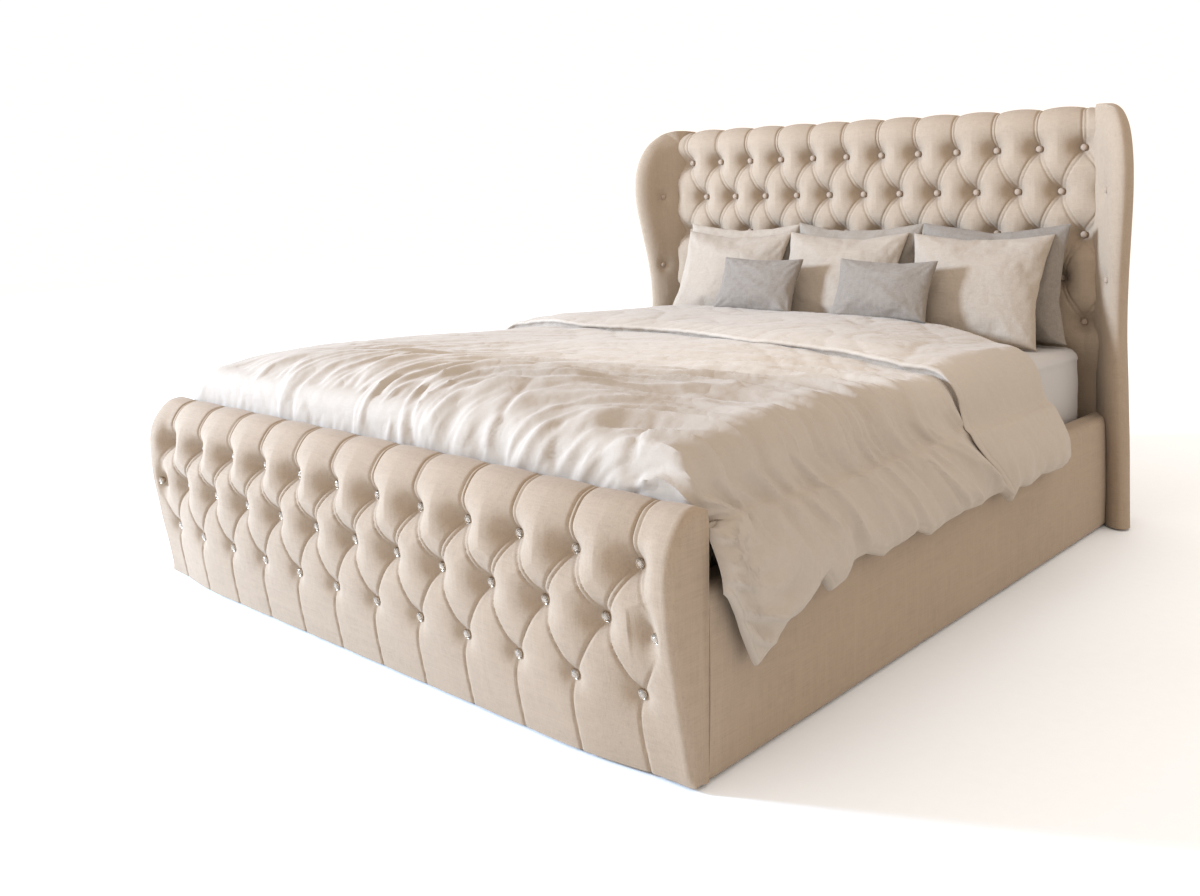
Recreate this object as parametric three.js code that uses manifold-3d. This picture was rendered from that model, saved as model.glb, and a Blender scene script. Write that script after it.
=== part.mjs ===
import * as THREE from 'three';
import * as BufferGeometryUtils from 'three/addons/utils/BufferGeometryUtils.js';
import Module from 'manifold-3d';

const wasm = await Module();
wasm.setup();

// Driving dimensions in millimetres: X across the bed, +Y towards the head, +Z up.
const half = 0.5;
const bothSides = [-1, 1];
const fitGap = 0.3;
const overrun = 5;

const mattressWidth = 1500;
const mattressLength = 1990;
const mattressDepth = 250;
const mattressEdgeRadius = 34;
const mattressCrown = 1;
const mattressSideDraw = 5;
const mattressHeadGap = 5;
const mattressFootGap = 15;
const slatTop = 262;
const mattressTop = slatTop + mattressDepth;

const frameOverhang = 2;
const frameHalfWidth = mattressWidth * half + frameOverhang;
const frameTubeWidth = 30;
const frameTubeHeight = 40;
const tubeWall = 2;
const frameBottom = 208;
const frameTop = frameBottom + frameTubeHeight;
const frameHeadGap = 8;
const frameFootGap = 38;

const railFrameGap = 8;
const railInnerX = frameHalfWidth + railFrameGap;
const railThickness = 60;
const railOuterX = railInnerX + railThickness;
const railHeight = 315;
const railCrown = 4;
const railCornerRadius = 24;
const railEdgeRadius = 10;
const railWingGap = 3;
const glideHeight = 6;
const glideRadius = 22;
const glideInset = 60;
const underside = glideHeight + fitGap;

// The buttons of the headboard share their spacing with those of the footboard.
const headGridCount = 23;
const pitchSteps = 4;
const padRailLap = 4.75;
const headHalfWidth = railInnerX + padRailLap;
const gridStep = headHalfWidth / headGridCount;
const buttonPitch = gridStep * pitchSteps;
const rowPitch = 131.5;
const buttonRadius = 12;
const buttonRise = 9;
const buttonSideCount = 6;
const buttonSink = 10;
const buttonCrownShare = 0.55;
const diamondSoftShare = 0.62;
const pleatSoftShare = 0.6;

const headboardHeight = 1235;
const headPuff = 45;
const headButtonDepth = 78;
const headLowestRow = 582;
const headRowCount = 5;
const headPadBack = 60.6;
const headRecess = 5;
const headFlatTop = 380;
const headFadeStart = 400;
const headBackBoard = 17;
const headBackDrop = 22;
const headBackLap = 20;

const footThickness = 34;
const footBulge = 75;
const footHeight = 443;
const footBackHeight = 424;
const footEndThickness = 21;
const footEndProud = 2;
const footPit = 17;
const footEndReach = 230;
const footLastButtonInset = 17;
const footBackU = mattressHeadGap + mattressLength + mattressFootGap;
const footHalfWidth = railOuterX;

const headDepth = headButtonDepth + headPuff;
const overallLength = headDepth + footBackU + footThickness + footBulge;
const headBack = overallLength * half;
const headButtonY = headBack - headButtonDepth;
const headFaceY = headBack - headDepth;
const footBackY = headFaceY - footBackU;
const footFloorY = footBackY - footThickness;

const wingAngle = THREE.MathUtils.degToRad(30);
const wingThickness = 60;
const wingReach = 191;
const wingJoint = 0.4;
const wingSide = headHalfWidth + wingJoint;
const wingPuff = 11;
const wingBulge = 3;
const wingBackDepth = 34;
const wingButtonReach = 92;
const wingButtonSink = 4;

const duvetThickness = 34;
const duvetBand = 30;
const duvetSideThickness = 24;
const duvetSheetGap = 0.5;
const duvetRailGap = 7;
const duvetHeadU = 280;
const duvetFootOverlap = 32;
const duvetShoulderRise = 16;
const duvetFold = 5;
const duvetLongWave = 2.5;
const duvetShortWave = 3;

// Lift linkage, measured from the face of the headboard: U towards the foot, Z up.
const armPivotU = 600;
const armPivotZ = 180;
const armLength = 285;
const armHalfWidth = 15;
const armRestAngle = THREE.MathUtils.degToRad(10);
const linkPivotU = 686.3;
const linkPivotZ = 159.9;
const linkLength = 309.9;
const linkHalfWidth = 12.5;
const linkRestAngle = THREE.MathUtils.degToRad(9.61);
const gasPivotU = 345;
const gasPivotZ = 95;
const gasRestAngle = THREE.MathUtils.degToRad(36.18);
const gasClosedLength = 216.8;
const linkStudBack = 60;
const linkStudDrop = 20;
const gasStudAhead = 150;
const gasStudDrop = 10;
const barThickness = 6;
const linkInset = 48.5;
const armInset = 56;
const gasInset = 76;
const linkPlane = railInnerX - linkInset;
const armPlane = railInnerX - armInset;
const gasPlane = railInnerX - gasInset;
const studRadius = 5;
const studProud = 2;
const pivotClearance = 0.4;
const linkEyeRadius = 8.4;
const gasEyeRadius = 9.5;

const slatThickness = slatTop - frameTop - fitGap - fitGap;

const colours = {
  linen: 0xd9cbb8, linenDark: 0xc9b9a3, backing: 0x3a3836, timber: 0xc49a6c, steel: 0x2c2e31,
  chrome: 0xb8bcc0, rod: 0xd8dade, plastic: 0x1d1e20, board: 0x8d8a86, sheet: 0xf0edea,
  duvet: 0xe9e3da, cream: 0xe2d8ca, grey: 0xb9b4af, darkCream: 0xcfc4b6, strap: 0x4a4541,
};

const group = new THREE.Group();
group.name = 'ottoman_bed';

function add(name, geometry, colour, metalness = 0, roughness = 0.85) {
  const material = new THREE.MeshStandardMaterial({ color: colour, metalness, roughness });
  material.name = `${name}_material`;
  const mesh = new THREE.Mesh(geometry, material);
  mesh.name = name;
  group.add(mesh);
  return mesh;
}

// From a distance off the headboard face to the bed's own Y.
const yOf = (u) => headFaceY - u;

function solid(geometry) {
  const bare = geometry.clone();
  bare.deleteAttribute('normal');
  bare.deleteAttribute('uv');
  const joined = BufferGeometryUtils.mergeVertices(bare, 1e-4);
  const vertProperties = new Float32Array(joined.attributes.position.array);
  const triVerts = new Uint32Array(joined.index.array);
  return new wasm.Manifold(new wasm.Mesh({ numProp: 3, vertProperties, triVerts }));
}

function geometryOf(body) {
  const mesh = body.getMesh();
  const geometry = new THREE.BufferGeometry();
  const positions = new Float32Array(mesh.vertProperties);
  geometry.setAttribute('position', new THREE.BufferAttribute(positions, 3));
  geometry.setIndex(new THREE.BufferAttribute(new Uint32Array(mesh.triVerts), 1));
  geometry.computeVertexNormals();
  return geometry;
}

function fuse(geometries) {
  return geometryOf(wasm.Manifold.union(geometries.map((piece) => solid(piece))));
}

function cut(geometry, tools) {
  let body = solid(geometry);
  for (const tool of tools) body = body.subtract(solid(tool));
  return geometryOf(body);
}

function box(low, high) {
  const size = high.map((value, axis) => value - low[axis]);
  const geometry = new THREE.BoxGeometry(...size);
  geometry.translate(...low.map((value, axis) => value + size[axis] * half));
  return geometry;
}

// A round pin along X between two X positions.
function pinX(fromX, toX, y, z, radius, sideCount = 12) {
  const geometry = new THREE.CylinderGeometry(radius, radius, Math.abs(toX - fromX), sideCount);
  geometry.rotateZ(Math.PI * half);
  geometry.translate((fromX + toX) * half, y, z);
  return geometry;
}

function discZ(x, y, lowZ, highZ, radius, sideCount = 16) {
  const geometry = new THREE.CylinderGeometry(radius, radius, highZ - lowZ, sideCount);
  geometry.rotateX(Math.PI * half);
  geometry.translate(x, y, (lowZ + highZ) * half);
  return geometry;
}

// Closed skin between a front grid and a flat or curved back that shares its border.
function quilt(columns, rows, front, back, pleat = () => false) {
  const points = [];
  const faces = [];
  const frontId = (i, j) => i * (rows + 1) + j;
  for (let i = 0; i <= columns; i += 1) {
    for (let j = 0; j <= rows; j += 1) points.push(front(i, j));
  }
  for (let i = 0; i < columns; i += 1) {
    for (let j = 0; j < rows; j += 1) {
      const a = frontId(i, j);
      const b = frontId(i + 1, j);
      const c = frontId(i + 1, j + 1);
      const d = frontId(i, j + 1);
      if (pleat(i, j)) faces.push([a, b, c], [a, c, d]);
      else faces.push([a, b, d], [b, c, d]);
    }
  }
  const rim = [];
  for (let i = 0; i < columns; i += 1) rim.push([i, 0]);
  for (let j = 0; j < rows; j += 1) rim.push([columns, j]);
  for (let i = columns; i > 0; i -= 1) rim.push([i, rows]);
  for (let j = rows; j > 0; j -= 1) rim.push([0, j]);
  const backStart = points.length;
  for (const [i, j] of rim) points.push(back(i, j));
  const middle = rim.reduce((sum, cell, n) => sum.add(new THREE.Vector3(...points[backStart + n])),
    new THREE.Vector3()).divideScalar(rim.length);
  const hub = points.length;
  points.push(middle.toArray());
  for (let n = 0; n < rim.length; n += 1) {
    const next = (n + 1) % rim.length;
    const a = frontId(...rim[n]);
    const b = frontId(...rim[next]);
    faces.push([a, backStart + n, backStart + next], [a, backStart + next, b]);
    faces.push([hub, backStart + next, backStart + n]);
  }
  return skin(points, faces);
}

// Closed skin between two grids of the same size, such as a cover and its lining.
function sandwich(columns, rows, outer, inner) {
  const points = [];
  const faces = [];
  const id = (layer, i, j) => layer * (columns + 1) * (rows + 1) + i * (rows + 1) + j;
  for (const side of [outer, inner]) {
    for (let i = 0; i <= columns; i += 1) {
      for (let j = 0; j <= rows; j += 1) points.push(side(i, j));
    }
  }
  for (let i = 0; i < columns; i += 1) {
    for (let j = 0; j < rows; j += 1) {
      const top = [id(0, i, j), id(0, i + 1, j), id(0, i + 1, j + 1), id(0, i, j + 1)];
      const low = [id(1, i, j), id(1, i + 1, j), id(1, i + 1, j + 1), id(1, i, j + 1)];
      faces.push([top[0], top[1], top[2]], [top[0], top[2], top[3]]);
      faces.push([low[0], low[2], low[1]], [low[0], low[3], low[2]]);
    }
  }
  for (let i = 0; i < columns; i += 1) {
    for (const [j, flip] of [[0, false], [rows, true]]) {
      const ring = [id(0, i, j), id(1, i, j), id(1, i + 1, j), id(0, i + 1, j)];
      if (flip) ring.reverse();
      faces.push([ring[0], ring[1], ring[2]], [ring[0], ring[2], ring[3]]);
    }
  }
  for (let j = 0; j < rows; j += 1) {
    for (const [i, flip] of [[0, true], [columns, false]]) {
      const ring = [id(0, i, j), id(1, i, j), id(1, i, j + 1), id(0, i, j + 1)];
      if (flip) ring.reverse();
      faces.push([ring[0], ring[1], ring[2]], [ring[0], ring[2], ring[3]]);
    }
  }
  return skin(points, faces);
}

// Closed skin through rings of equal count, capped at both ends.
function loft(rings) {
  const count = rings[0].length;
  const points = rings.flat();
  const faces = [];
  for (let r = 0; r + 1 < rings.length; r += 1) {
    for (let n = 0; n < count; n += 1) {
      const next = (n + 1) % count;
      const a = r * count + n;
      const b = r * count + next;
      faces.push([a, b, b + count], [a, b + count, a + count]);
    }
  }
  const last = (rings.length - 1) * count;
  for (const [start, flip] of [[0, true], [last, false]]) {
    const centre = new THREE.Vector3();
    for (let n = 0; n < count; n += 1) centre.add(new THREE.Vector3(...points[start + n]));
    points.push(centre.divideScalar(count).toArray());
    const hub = points.length - 1;
    for (let n = 0; n < count; n += 1) {
      const next = (n + 1) % count;
      if (flip) faces.push([hub, start + next, start + n]);
      else faces.push([hub, start + n, start + next]);
    }
  }
  return skin(points, faces);
}

function signedVolume(points, faces) {
  let volume = 0;
  const a = new THREE.Vector3();
  const b = new THREE.Vector3();
  const c = new THREE.Vector3();
  for (const face of faces) {
    a.fromArray(points[face[0]]);
    b.fromArray(points[face[1]]);
    c.fromArray(points[face[2]]);
    volume += a.dot(b.cross(c));
  }
  return volume;
}

function skin(points, faces) {
  const outward = signedVolume(points, faces) > 0;
  const geometry = new THREE.BufferGeometry();
  geometry.setAttribute('position', new THREE.Float32BufferAttribute(points.flat(), 3));
  const order = faces.flatMap(([a, b, c]) => (outward ? [a, b, c] : [a, c, b]));
  geometry.setIndex(order);
  geometry.computeVertexNormals();
  return geometry;
}

function button(x, y, z, tilt) {
  const profile = [
    [0, -buttonSink], [buttonRadius, -buttonSink], [buttonRadius, buttonRise * half],
    [buttonRadius * buttonCrownShare, buttonRise], [0, buttonRise],
  ].map(([r, h]) => new THREE.Vector2(r, h));
  const geometry = new THREE.LatheGeometry(profile, buttonSideCount);
  geometry.rotateX(Math.PI * half + tilt);
  geometry.translate(x, y, z);
  return geometry;
}

// How full the pad stands at a place on the diamond pattern: 0 on a button, 1 in mid-diamond.
function diamondShare(x, rows) {
  const across = x / buttonPitch;
  const first = Math.abs(Math.sin(Math.PI * (across + rows * half)));
  const second = Math.abs(Math.sin(Math.PI * (across - rows * half)));
  return Math.pow(first * second, diamondSoftShare);
}

// How full the pad stands between the upright pleats: 0 in a pleat, 1 midway.
function pleatShare(x) {
  return Math.pow(Math.abs(Math.sin(Math.PI * (x / buttonPitch + half))), pleatSoftShare);
}

// Headboard: rows of diamonds between buttons, pleats running to the top and down.
const headTopRow = headLowestRow + rowPitch * (headRowCount - 1);
const headRows = [underside, headFlatTop].map((z) => ({ z, kind: 'flat' }));
headRows.push({ z: headLowestRow - rowPitch, kind: 'skirt' });
for (let n = -1; n <= (headRowCount - 1) / half; n += 1) {
  const kind = n < 0 ? 'skirt' : 'diamond';
  headRows.push({ z: headLowestRow + n * rowPitch * half, kind, rows: n * half });
}
const headTopShares = [[0.35, 0], [0.7, 0], [0.93, 0.35], [1, 1]];
for (const [riseShare, turnShare] of headTopShares) {
  headRows.push({ z: headTopRow + (headboardHeight - headTopRow) * riseShare, kind: 'pleat', turnShare });
}

function headLoft(x, row) {
  const edgeFloorShare = 0.55;
  const pleatFloorShare = 0.45;
  const pleatRiseShare = 0.5;
  const skirtFloorShare = 0.25;
  const skirtRiseShare = 0.6;
  const edge = Math.min(1, (headHalfWidth - Math.abs(x)) / gridStep);
  const edgeShare = edgeFloorShare + (1 - edgeFloorShare) * edge;
  if (row.kind === 'flat') return -headRecess;
  if (row.kind === 'pleat') {
    const rise = headPuff * (pleatFloorShare + pleatRiseShare * pleatShare(x)) * edgeShare;
    return rise * (1 - row.turnShare) - row.turnShare * headPadBack * half;
  }
  if (row.kind === 'skirt') {
    const fade = THREE.MathUtils.smoothstep(row.z, headFadeStart, headLowestRow);
    const rise = headPuff * (skirtFloorShare + skirtRiseShare * pleatShare(x));
    return rise * fade * edgeShare - headRecess * (1 - fade);
  }
  return headPuff * diamondShare(x + buttonPitch * half, row.rows) * edgeShare;
}

function headPoint(i, j) {
  const x = (i - headGridCount) * gridStep;
  const row = headRows[j];
  return [x, headButtonY - headLoft(x, row), row.z];
}

const headPad = quilt(
  headGridCount / half, headRows.length - 1, headPoint,
  (i, j) => {
    const [x, , z] = headPoint(i, j);
    return [x, headButtonY + headPadBack, z];
  },
  (i, j) => (i + j) % 2 === 0,
);

// Places of one row of buttons: the rows alternate between an even and an odd count.
function buttonPlaces(count) {
  return Array.from({ length: count }, (unused, n) => (n - (count - 1) * half) * buttonPitch);
}
const headButtonCounts = [12, 11];
const headButtons = [];
for (let row = 0; row < headRowCount; row += 1) {
  for (const x of buttonPlaces(headButtonCounts[row % headButtonCounts.length])) {
    headButtons.push(button(x, headButtonY, headLowestRow + row * rowPitch, 0));
  }
}
add('headboard_pad', fuse([headPad, ...headButtons]), colours.linen);

const backBoardFront = headBack - headBackBoard;
add('headboard_back_panel', box(
  [-wingSide - headBackLap, backBoardFront, underside],
  [wingSide + headBackLap, headBack, headboardHeight - headBackDrop],
), colours.linenDark);

// Wings: a padded slab splayed outwards, rounded at the top and narrowed above the rail.
// Heights are shares of the headboard's height, reaches are shares of the longest reach.
const wingShares = [
  [0, 0.785], [0.202, 0.764], [0.34, 0.702], [0.453, 0.639], [0.567, 0.702], [0.688, 0.869],
  [0.777, 0.974], [0.842, 1], [0.899, 0.969], [0.943, 0.838], [0.972, 0.618], [0.99, 0.293],
];
const wingFaceShares = [[0, 0], [0.22, 0.5], [0.5, 1], [0.8, 0.7]];
const wingEdgeShares = [[-0.3, 0.25], [0, 1], [-0.35, 1.7]];
const wingSideShares = [[0.8, 0], [0.4, 1], [0, 0]];
const wingPuffShares = [0.34, 0.5, 0.907, 0.992];
const wingInwards = [Math.sin(wingAngle), -Math.cos(wingAngle)];
const wingOutwards = [Math.cos(wingAngle), Math.sin(wingAngle)];

function wingSpot(side, z, along, out) {
  return [
    side * (wingSide + wingInwards[0] * along + wingOutwards[0] * out),
    headButtonY + wingInwards[1] * along + wingOutwards[1] * out, z,
  ];
}
function wingRing(side, z, reach, puff) {
  const tip = wingThickness * half;
  const backY = backBoardFront - wingJoint;
  return [
    ...wingFaceShares.map(([reachShare, puffShare]) => (
      wingSpot(side, z, reach * reachShare, -puff * puffShare))),
    ...wingEdgeShares.map(([tipShare, riseShare]) => (
      wingSpot(side, z, reach + tip * tipShare, tip * riseShare))),
    ...wingSideShares.map(([reachShare, bulgeShare]) => (
      wingSpot(side, z, reach * reachShare, wingThickness + wingBulge * bulgeShare))),
    [side * (wingSide + wingBackDepth), backY, z],
    [side * wingSide, backY, z],
  ];
}
for (const side of bothSides) {
  const label = side < 0 ? 'left' : 'right';
  const [puffFrom, puffFull, puffEnd, puffGone] = wingPuffShares.map((share) => share * headboardHeight);
  const rings = wingShares.map(([heightShare, reachShare]) => {
    const z = Math.max(underside, heightShare * headboardHeight);
    const rise = THREE.MathUtils.smoothstep(z, puffFrom, puffFull);
    const fall = THREE.MathUtils.smoothstep(z, puffEnd, puffGone);
    return wingRing(side, z, reachShare * wingReach, wingPuff * rise * (1 - fall));
  });
  const buttonRows = [1, 3];
  const buttons = buttonRows.map((row) => {
    const [x, y, z] = wingSpot(side, headLowestRow + row * rowPitch, wingButtonReach, -wingButtonSink);
    const knob = button(0, 0, 0, 0);
    knob.rotateZ(-side * (Math.PI * half - wingAngle));
    knob.translate(x, y, z);
    return knob;
  });
  add(`wing_${label}`, fuse([loft(rings), ...buttons]), colours.linen);
}

// Footboard: a scrolled profile, buttoned in three rows, pleats over the roll and to the floor.
// Each point: reach in mid-width, reach at the ends, height, and place among the button rows.
const footProfileShares = [
  [0.293, 0, 0, 0], [0.467, 0.187, 0.156, 0.4], [0.653, 0.413, 0.305, 1], [0.78, 0.58, 0.427, 1.5],
  [0.893, 0.747, 0.551, 2], [0.967, 0.853, 0.67, 2.5], [1, 0.893, 0.788, 3],
  [0.893, 0.8, 0.869, 3.3], [0.667, 0.593, 0.928, 3.6], [0.293, 0.253, 0.984, 3.9],
  [-0.16, -0.16, 1, 4.2], [-0.4, -0.4, 0.971, 4.4],
];
const footButtonCounts = [12, 13, 12];
const footButtonTilt = THREE.MathUtils.degToRad(7);
const footColumnCount = 48;
const footInnerHalf = footHalfWidth - footEndThickness - fitGap;
const footStep = footInnerHalf / (footColumnCount * half);
const footLastButton = footInnerHalf - footLastButtonInset;

function footOut(x, middleShare, endShare) {
  const toEnd = THREE.MathUtils.smoothstep(Math.abs(x), footInnerHalf - footEndReach, footInnerHalf);
  return footBulge * (middleShare + (endShare - middleShare) * toEnd);
}
const footZ = (heightShare) => Math.max(underside, footHeight * heightShare);

function footFullShare(x, rows) {
  const [firstRow, lastRow] = [1, 3];
  const lowFadeShare = 0.75;
  const highFadeShare = 0.8;
  const edgeShare = 0.5;
  let share;
  if (rows < firstRow || rows > lastRow) {
    const fadeShare = rows < firstRow ? lowFadeShare : highFadeShare;
    share = rows === 0 ? 1 : 1 - fadeShare * (1 - pleatShare(x));
  } else {
    share = diamondShare(x + buttonPitch * half, rows - firstRow);
  }
  const onEdge = Math.abs(x) > footInnerHalf - fitGap;
  return onEdge ? Math.max(share, edgeShare) : share;
}

function footPoint(i, j) {
  const topSinkShare = 0.2;
  const x = (i - footColumnCount * half) * footStep;
  const [middleShare, endShare, heightShare, rows] = footProfileShares[j];
  const before = footProfileShares[Math.max(0, j - 1)];
  const after = footProfileShares[Math.min(footProfileShares.length - 1, j + 1)];
  const run = new THREE.Vector2(
    (after[0] - before[0]) * footBulge, footZ(after[2]) - footZ(before[2]),
  ).normalize();
  const sink = footPit * (1 - footFullShare(x, rows));
  const drop = run.y < 0 ? sink * run.x : sink * run.x * topSinkShare;
  return [x, footFloorY - footOut(x, middleShare, endShare) + sink * run.y, footZ(heightShare) + drop];
}
const footBackTop = footZ(footBackHeight / footHeight);
const footPad = quilt(
  footColumnCount, footProfileShares.length - 1, footPoint,
  (i, j) => {
    const [x, , z] = footPoint(i, j);
    const stepDown = (footProfileShares.length - 1 - j) * fitGap;
    return [x, footBackY, Math.min(z, footBackTop - stepDown)];
  },
  (i, j) => (i + j) % 2 === 1,
);
const footButtons = footButtonCounts.flatMap((count, row) => {
  const [middleShare, endShare, heightShare] = footProfileShares.find((point) => point[3] === row + 1);
  return buttonPlaces(count).map((even) => {
    const x = Math.sign(even) * Math.min(Math.abs(even), footLastButton);
    const y = footFloorY - footOut(x, middleShare, endShare) + footPit;
    return button(x, y, footZ(heightShare), -footButtonTilt);
  });
});
add('footboard_pad', fuse([footPad, ...footButtons]), colours.linen);

// A flat upholstered end on each side closes the scroll.
for (const side of bothSides) {
  const label = side < 0 ? 'left' : 'right';
  const outline = footProfileShares.map(([, endShare, heightShare]) => (
    new THREE.Vector2(-footFloorY + endShare * footBulge + footEndProud, footZ(heightShare))));
  outline.push(new THREE.Vector2(-footBackY, footBackHeight), new THREE.Vector2(-footBackY, underside));
  const geometry = new THREE.ExtrudeGeometry(
    new THREE.Shape(outline), { depth: footEndThickness, bevelEnabled: false },
  );
  geometry.applyMatrix4(new THREE.Matrix4().makeBasis(
    new THREE.Vector3(0, -1, 0), new THREE.Vector3(0, 0, 1), new THREE.Vector3(-1, 0, 0),
  ));
  geometry.translate(side < 0 ? footEndThickness - footHalfWidth : footHalfWidth, 0, 0);
  add(`footboard_end_${label}`, geometry, colours.linen);
}

// Side rails with a softly crowned outer face and a mitred head end that meets the wing.
const railSectionShares = { lowCrown: 0.4, highCrown: 0.75, highBulgeShare: 0.8, cornerShare: 0.3 };
function railSection() {
  const low = underside;
  const r = railCornerRadius;
  const edge = railEdgeRadius;
  const { lowCrown, highCrown, highBulgeShare, cornerShare } = railSectionShares;
  const rise = (share) => low + (railHeight - low) * share;
  return [
    [railInnerX, low], [railOuterX - edge * cornerShare, low], [railOuterX, low + edge],
    [railOuterX + railCrown, rise(lowCrown)],
    [railOuterX + railCrown * highBulgeShare, rise(highCrown)],
    [railOuterX, railHeight - r], [railOuterX - r * cornerShare, railHeight - r * cornerShare],
    [railOuterX - r, railHeight], [railInnerX + edge, railHeight],
    [railInnerX + edge * cornerShare, railHeight - edge * cornerShare], [railInnerX, railHeight - edge],
  ];
}
const wingLineY = (x) => headButtonY - (x - wingSide) / Math.tan(wingAngle);
const railRingShares = [0, 0.25, 0.5, 0.75, 1];
for (const side of bothSides) {
  const label = side < 0 ? 'left' : 'right';
  const section = railSection();
  const headEnd = (x) => Math.min(headButtonY + headRecess - fitGap, wingLineY(x) - railWingGap);
  const rings = railRingShares.map((share) => section.map(([x, z]) => {
    const start = footBackY + fitGap;
    return [side * x, start + (headEnd(x) - start) * share, z];
  }));
  add(`side_rail_${label}`, loft(rings), colours.linen);
}

// Ledger battens along the rails, from the foot up to the lift mechanism.
const ledgerDepth = 38;
const ledgerHeight = 45;
const ledgerHeadU = 745;
const ledgerFootGap = 60;
const spanX = (side, a, b) => [side * a, side * b].sort((p, q) => p - q);
for (const side of bothSides) {
  const label = side < 0 ? 'left' : 'right';
  const outer = railInnerX - fitGap;
  const [lowX, highX] = spanX(side, outer, outer - ledgerDepth);
  const top = frameBottom - fitGap;
  add(`ledger_${label}`, box(
    [lowX, footBackY + ledgerFootGap, top - ledgerHeight], [highX, yOf(ledgerHeadU), top],
  ), colours.timber);
}

// Corner brackets: folded steel angles that tie the rails to the footboard and headboard.
const bracketLeg = 48;
const bracketSteel = 4;
const bracketHeight = 110;
const bracketBase = 50;
const boltRadius = 6;
const boltHead = 5;
const boltSideCount = 6;
const boltHeightShares = [0.25, 0.75];
const boltLegShare = 0.62;
for (const side of bothSides) {
  const label = side < 0 ? 'left' : 'right';
  const railFace = side * (railInnerX - fitGap);
  for (const end of ['foot', 'head']) {
    const flat = end === 'foot' ? footBackY + fitGap : headButtonY + headRecess - fitGap;
    const way = end === 'foot' ? 1 : -1;
    const onRail = [railFace - side * bracketSteel, flat + way * bracketLeg];
    const onBoard = [railFace - side * bracketLeg, flat + way * bracketSteel];
    const plates = [onRail, onBoard].map(([x, y]) => box(
      [Math.min(railFace, x), Math.min(flat, y), bracketBase],
      [Math.max(railFace, x), Math.max(flat, y), bracketBase + bracketHeight],
    ));
    const bolts = boltHeightShares.map((share) => pinX(
      railFace - side * bracketSteel * half, railFace - side * (bracketSteel + boltHead),
      flat + way * bracketLeg * boltLegShare, bracketBase + bracketHeight * share,
      boltRadius, boltSideCount,
    ));
    add(`corner_bracket_${end}_${label}`, fuse([...plates, ...bolts]), colours.steel, 0.8, 0.4);
  }
}

// Floor of the storage space on cross bearers, split by an upright centre board.
const bearerHeight = 24;
const bearerWidth = 45;
const bearerGap = 1;
const floorThickness = 9;
const floorHeadGap = 12;
const floorFootGap = 2;
const floorRailGap = 3;
const centreBoard = 18;
const centreBoardGap = 1;
const centreBoardFootGap = 42;
const bearerTop = underside + bearerHeight;
const floorTop = bearerTop + fitGap + floorThickness;
const floorHead = headButtonY - floorHeadGap;
const floorSpan = floorHead - footBackY;
const bearerShares = [0.06, 0.36, 0.66, 0.94];
const bearerY = (share) => footBackY + floorSpan * share;
bearerShares.forEach((share, n) => {
  add(`floor_bearer_${n + 1}`, box(
    [bearerGap - railInnerX, bearerY(share) - bearerWidth * half, underside],
    [railInnerX - bearerGap, bearerY(share) + bearerWidth * half, bearerTop],
  ), colours.timber);
});
for (const side of bothSides) {
  const label = side < 0 ? 'left' : 'right';
  const [lowX, highX] = spanX(side, centreBoard * half + centreBoardGap, railInnerX - floorRailGap);
  add(`storage_floor_${label}`, box(
    [lowX, footBackY + floorFootGap, bearerTop + fitGap], [highX, floorHead, floorTop],
  ), colours.board);
}
add('centre_board', box(
  [-centreBoard * half, footBackY + centreBoardFootGap, bearerTop + fitGap],
  [centreBoard * half, floorHead, frameBottom - fitGap],
), colours.timber);

// Glides under the ends of the outer bearers and the middle of the inner ones.
const glideX = railInnerX - glideInset;
const glidePlaces = [
  ...[bearerShares[0], bearerShares[3]].flatMap((share) => [[-glideX, share], [glideX, share]]),
  ...[bearerShares[1], bearerShares[2]].map((share) => [0, share]),
];
glidePlaces.forEach(([x, share], n) => {
  add(`glide_${n + 1}`, discZ(x, bearerY(share), 0, glideHeight, glideRadius), colours.plastic);
});

// Lift mechanism: flat bars and plates drawn in (Y, Z) and laid in planes of X.
function roundedBar(points, width, arcCount = 6) {
  const outline = [];
  const [first, last] = [points[0], points[points.length - 1]];
  const left = [];
  const right = [];
  for (let n = 0; n < points.length; n += 1) {
    const before = points[Math.max(0, n - 1)];
    const after = points[Math.min(points.length - 1, n + 1)];
    const run = new THREE.Vector2(after[0] - before[0], after[1] - before[1]).normalize();
    left.push([points[n][0] - run.y * width, points[n][1] + run.x * width]);
    right.push([points[n][0] + run.y * width, points[n][1] - run.x * width]);
  }
  const arc = (centre, from) => {
    const start = Math.atan2(from[1] - centre[1], from[0] - centre[0]);
    for (let k = 1; k < arcCount; k += 1) {
      const angle = start - Math.PI * k / arcCount;
      outline.push([centre[0] + width * Math.cos(angle), centre[1] + width * Math.sin(angle)]);
    }
  };
  outline.push(...left);
  arc(last, left[left.length - 1]);
  outline.push(...right.reverse());
  arc(first, right[right.length - 1]);
  return polygon(outline);
}
function ringPoints(centre, radius, sideCount) {
  return Array.from({ length: sideCount }, (unused, k) => {
    const angle = 2 * Math.PI * k / sideCount;
    return [centre[0] + radius * Math.cos(angle), centre[1] + radius * Math.sin(angle)];
  });
}
function polygon(points) {
  return new THREE.Shape(points.map(([a, b]) => new THREE.Vector2(a, b)));
}
function circleHole(shape, centre, radius, sideCount = 12) {
  const path = new THREE.Path();
  path.setFromPoints(ringPoints(centre, radius, sideCount).map(([a, b]) => new THREE.Vector2(a, b)));
  shape.holes.push(path);
}
function plateYZ(shape, fromX, toX) {
  const depth = Math.abs(toX - fromX);
  const geometry = new THREE.ExtrudeGeometry(shape, { depth, bevelEnabled: false });
  geometry.applyMatrix4(new THREE.Matrix4().makeBasis(
    new THREE.Vector3(0, 1, 0), new THREE.Vector3(0, 0, 1), new THREE.Vector3(1, 0, 0),
  ));
  geometry.translate(Math.min(fromX, toX), 0, 0);
  return geometry;
}
const armFoot = [yOf(armPivotU), armPivotZ];
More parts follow.
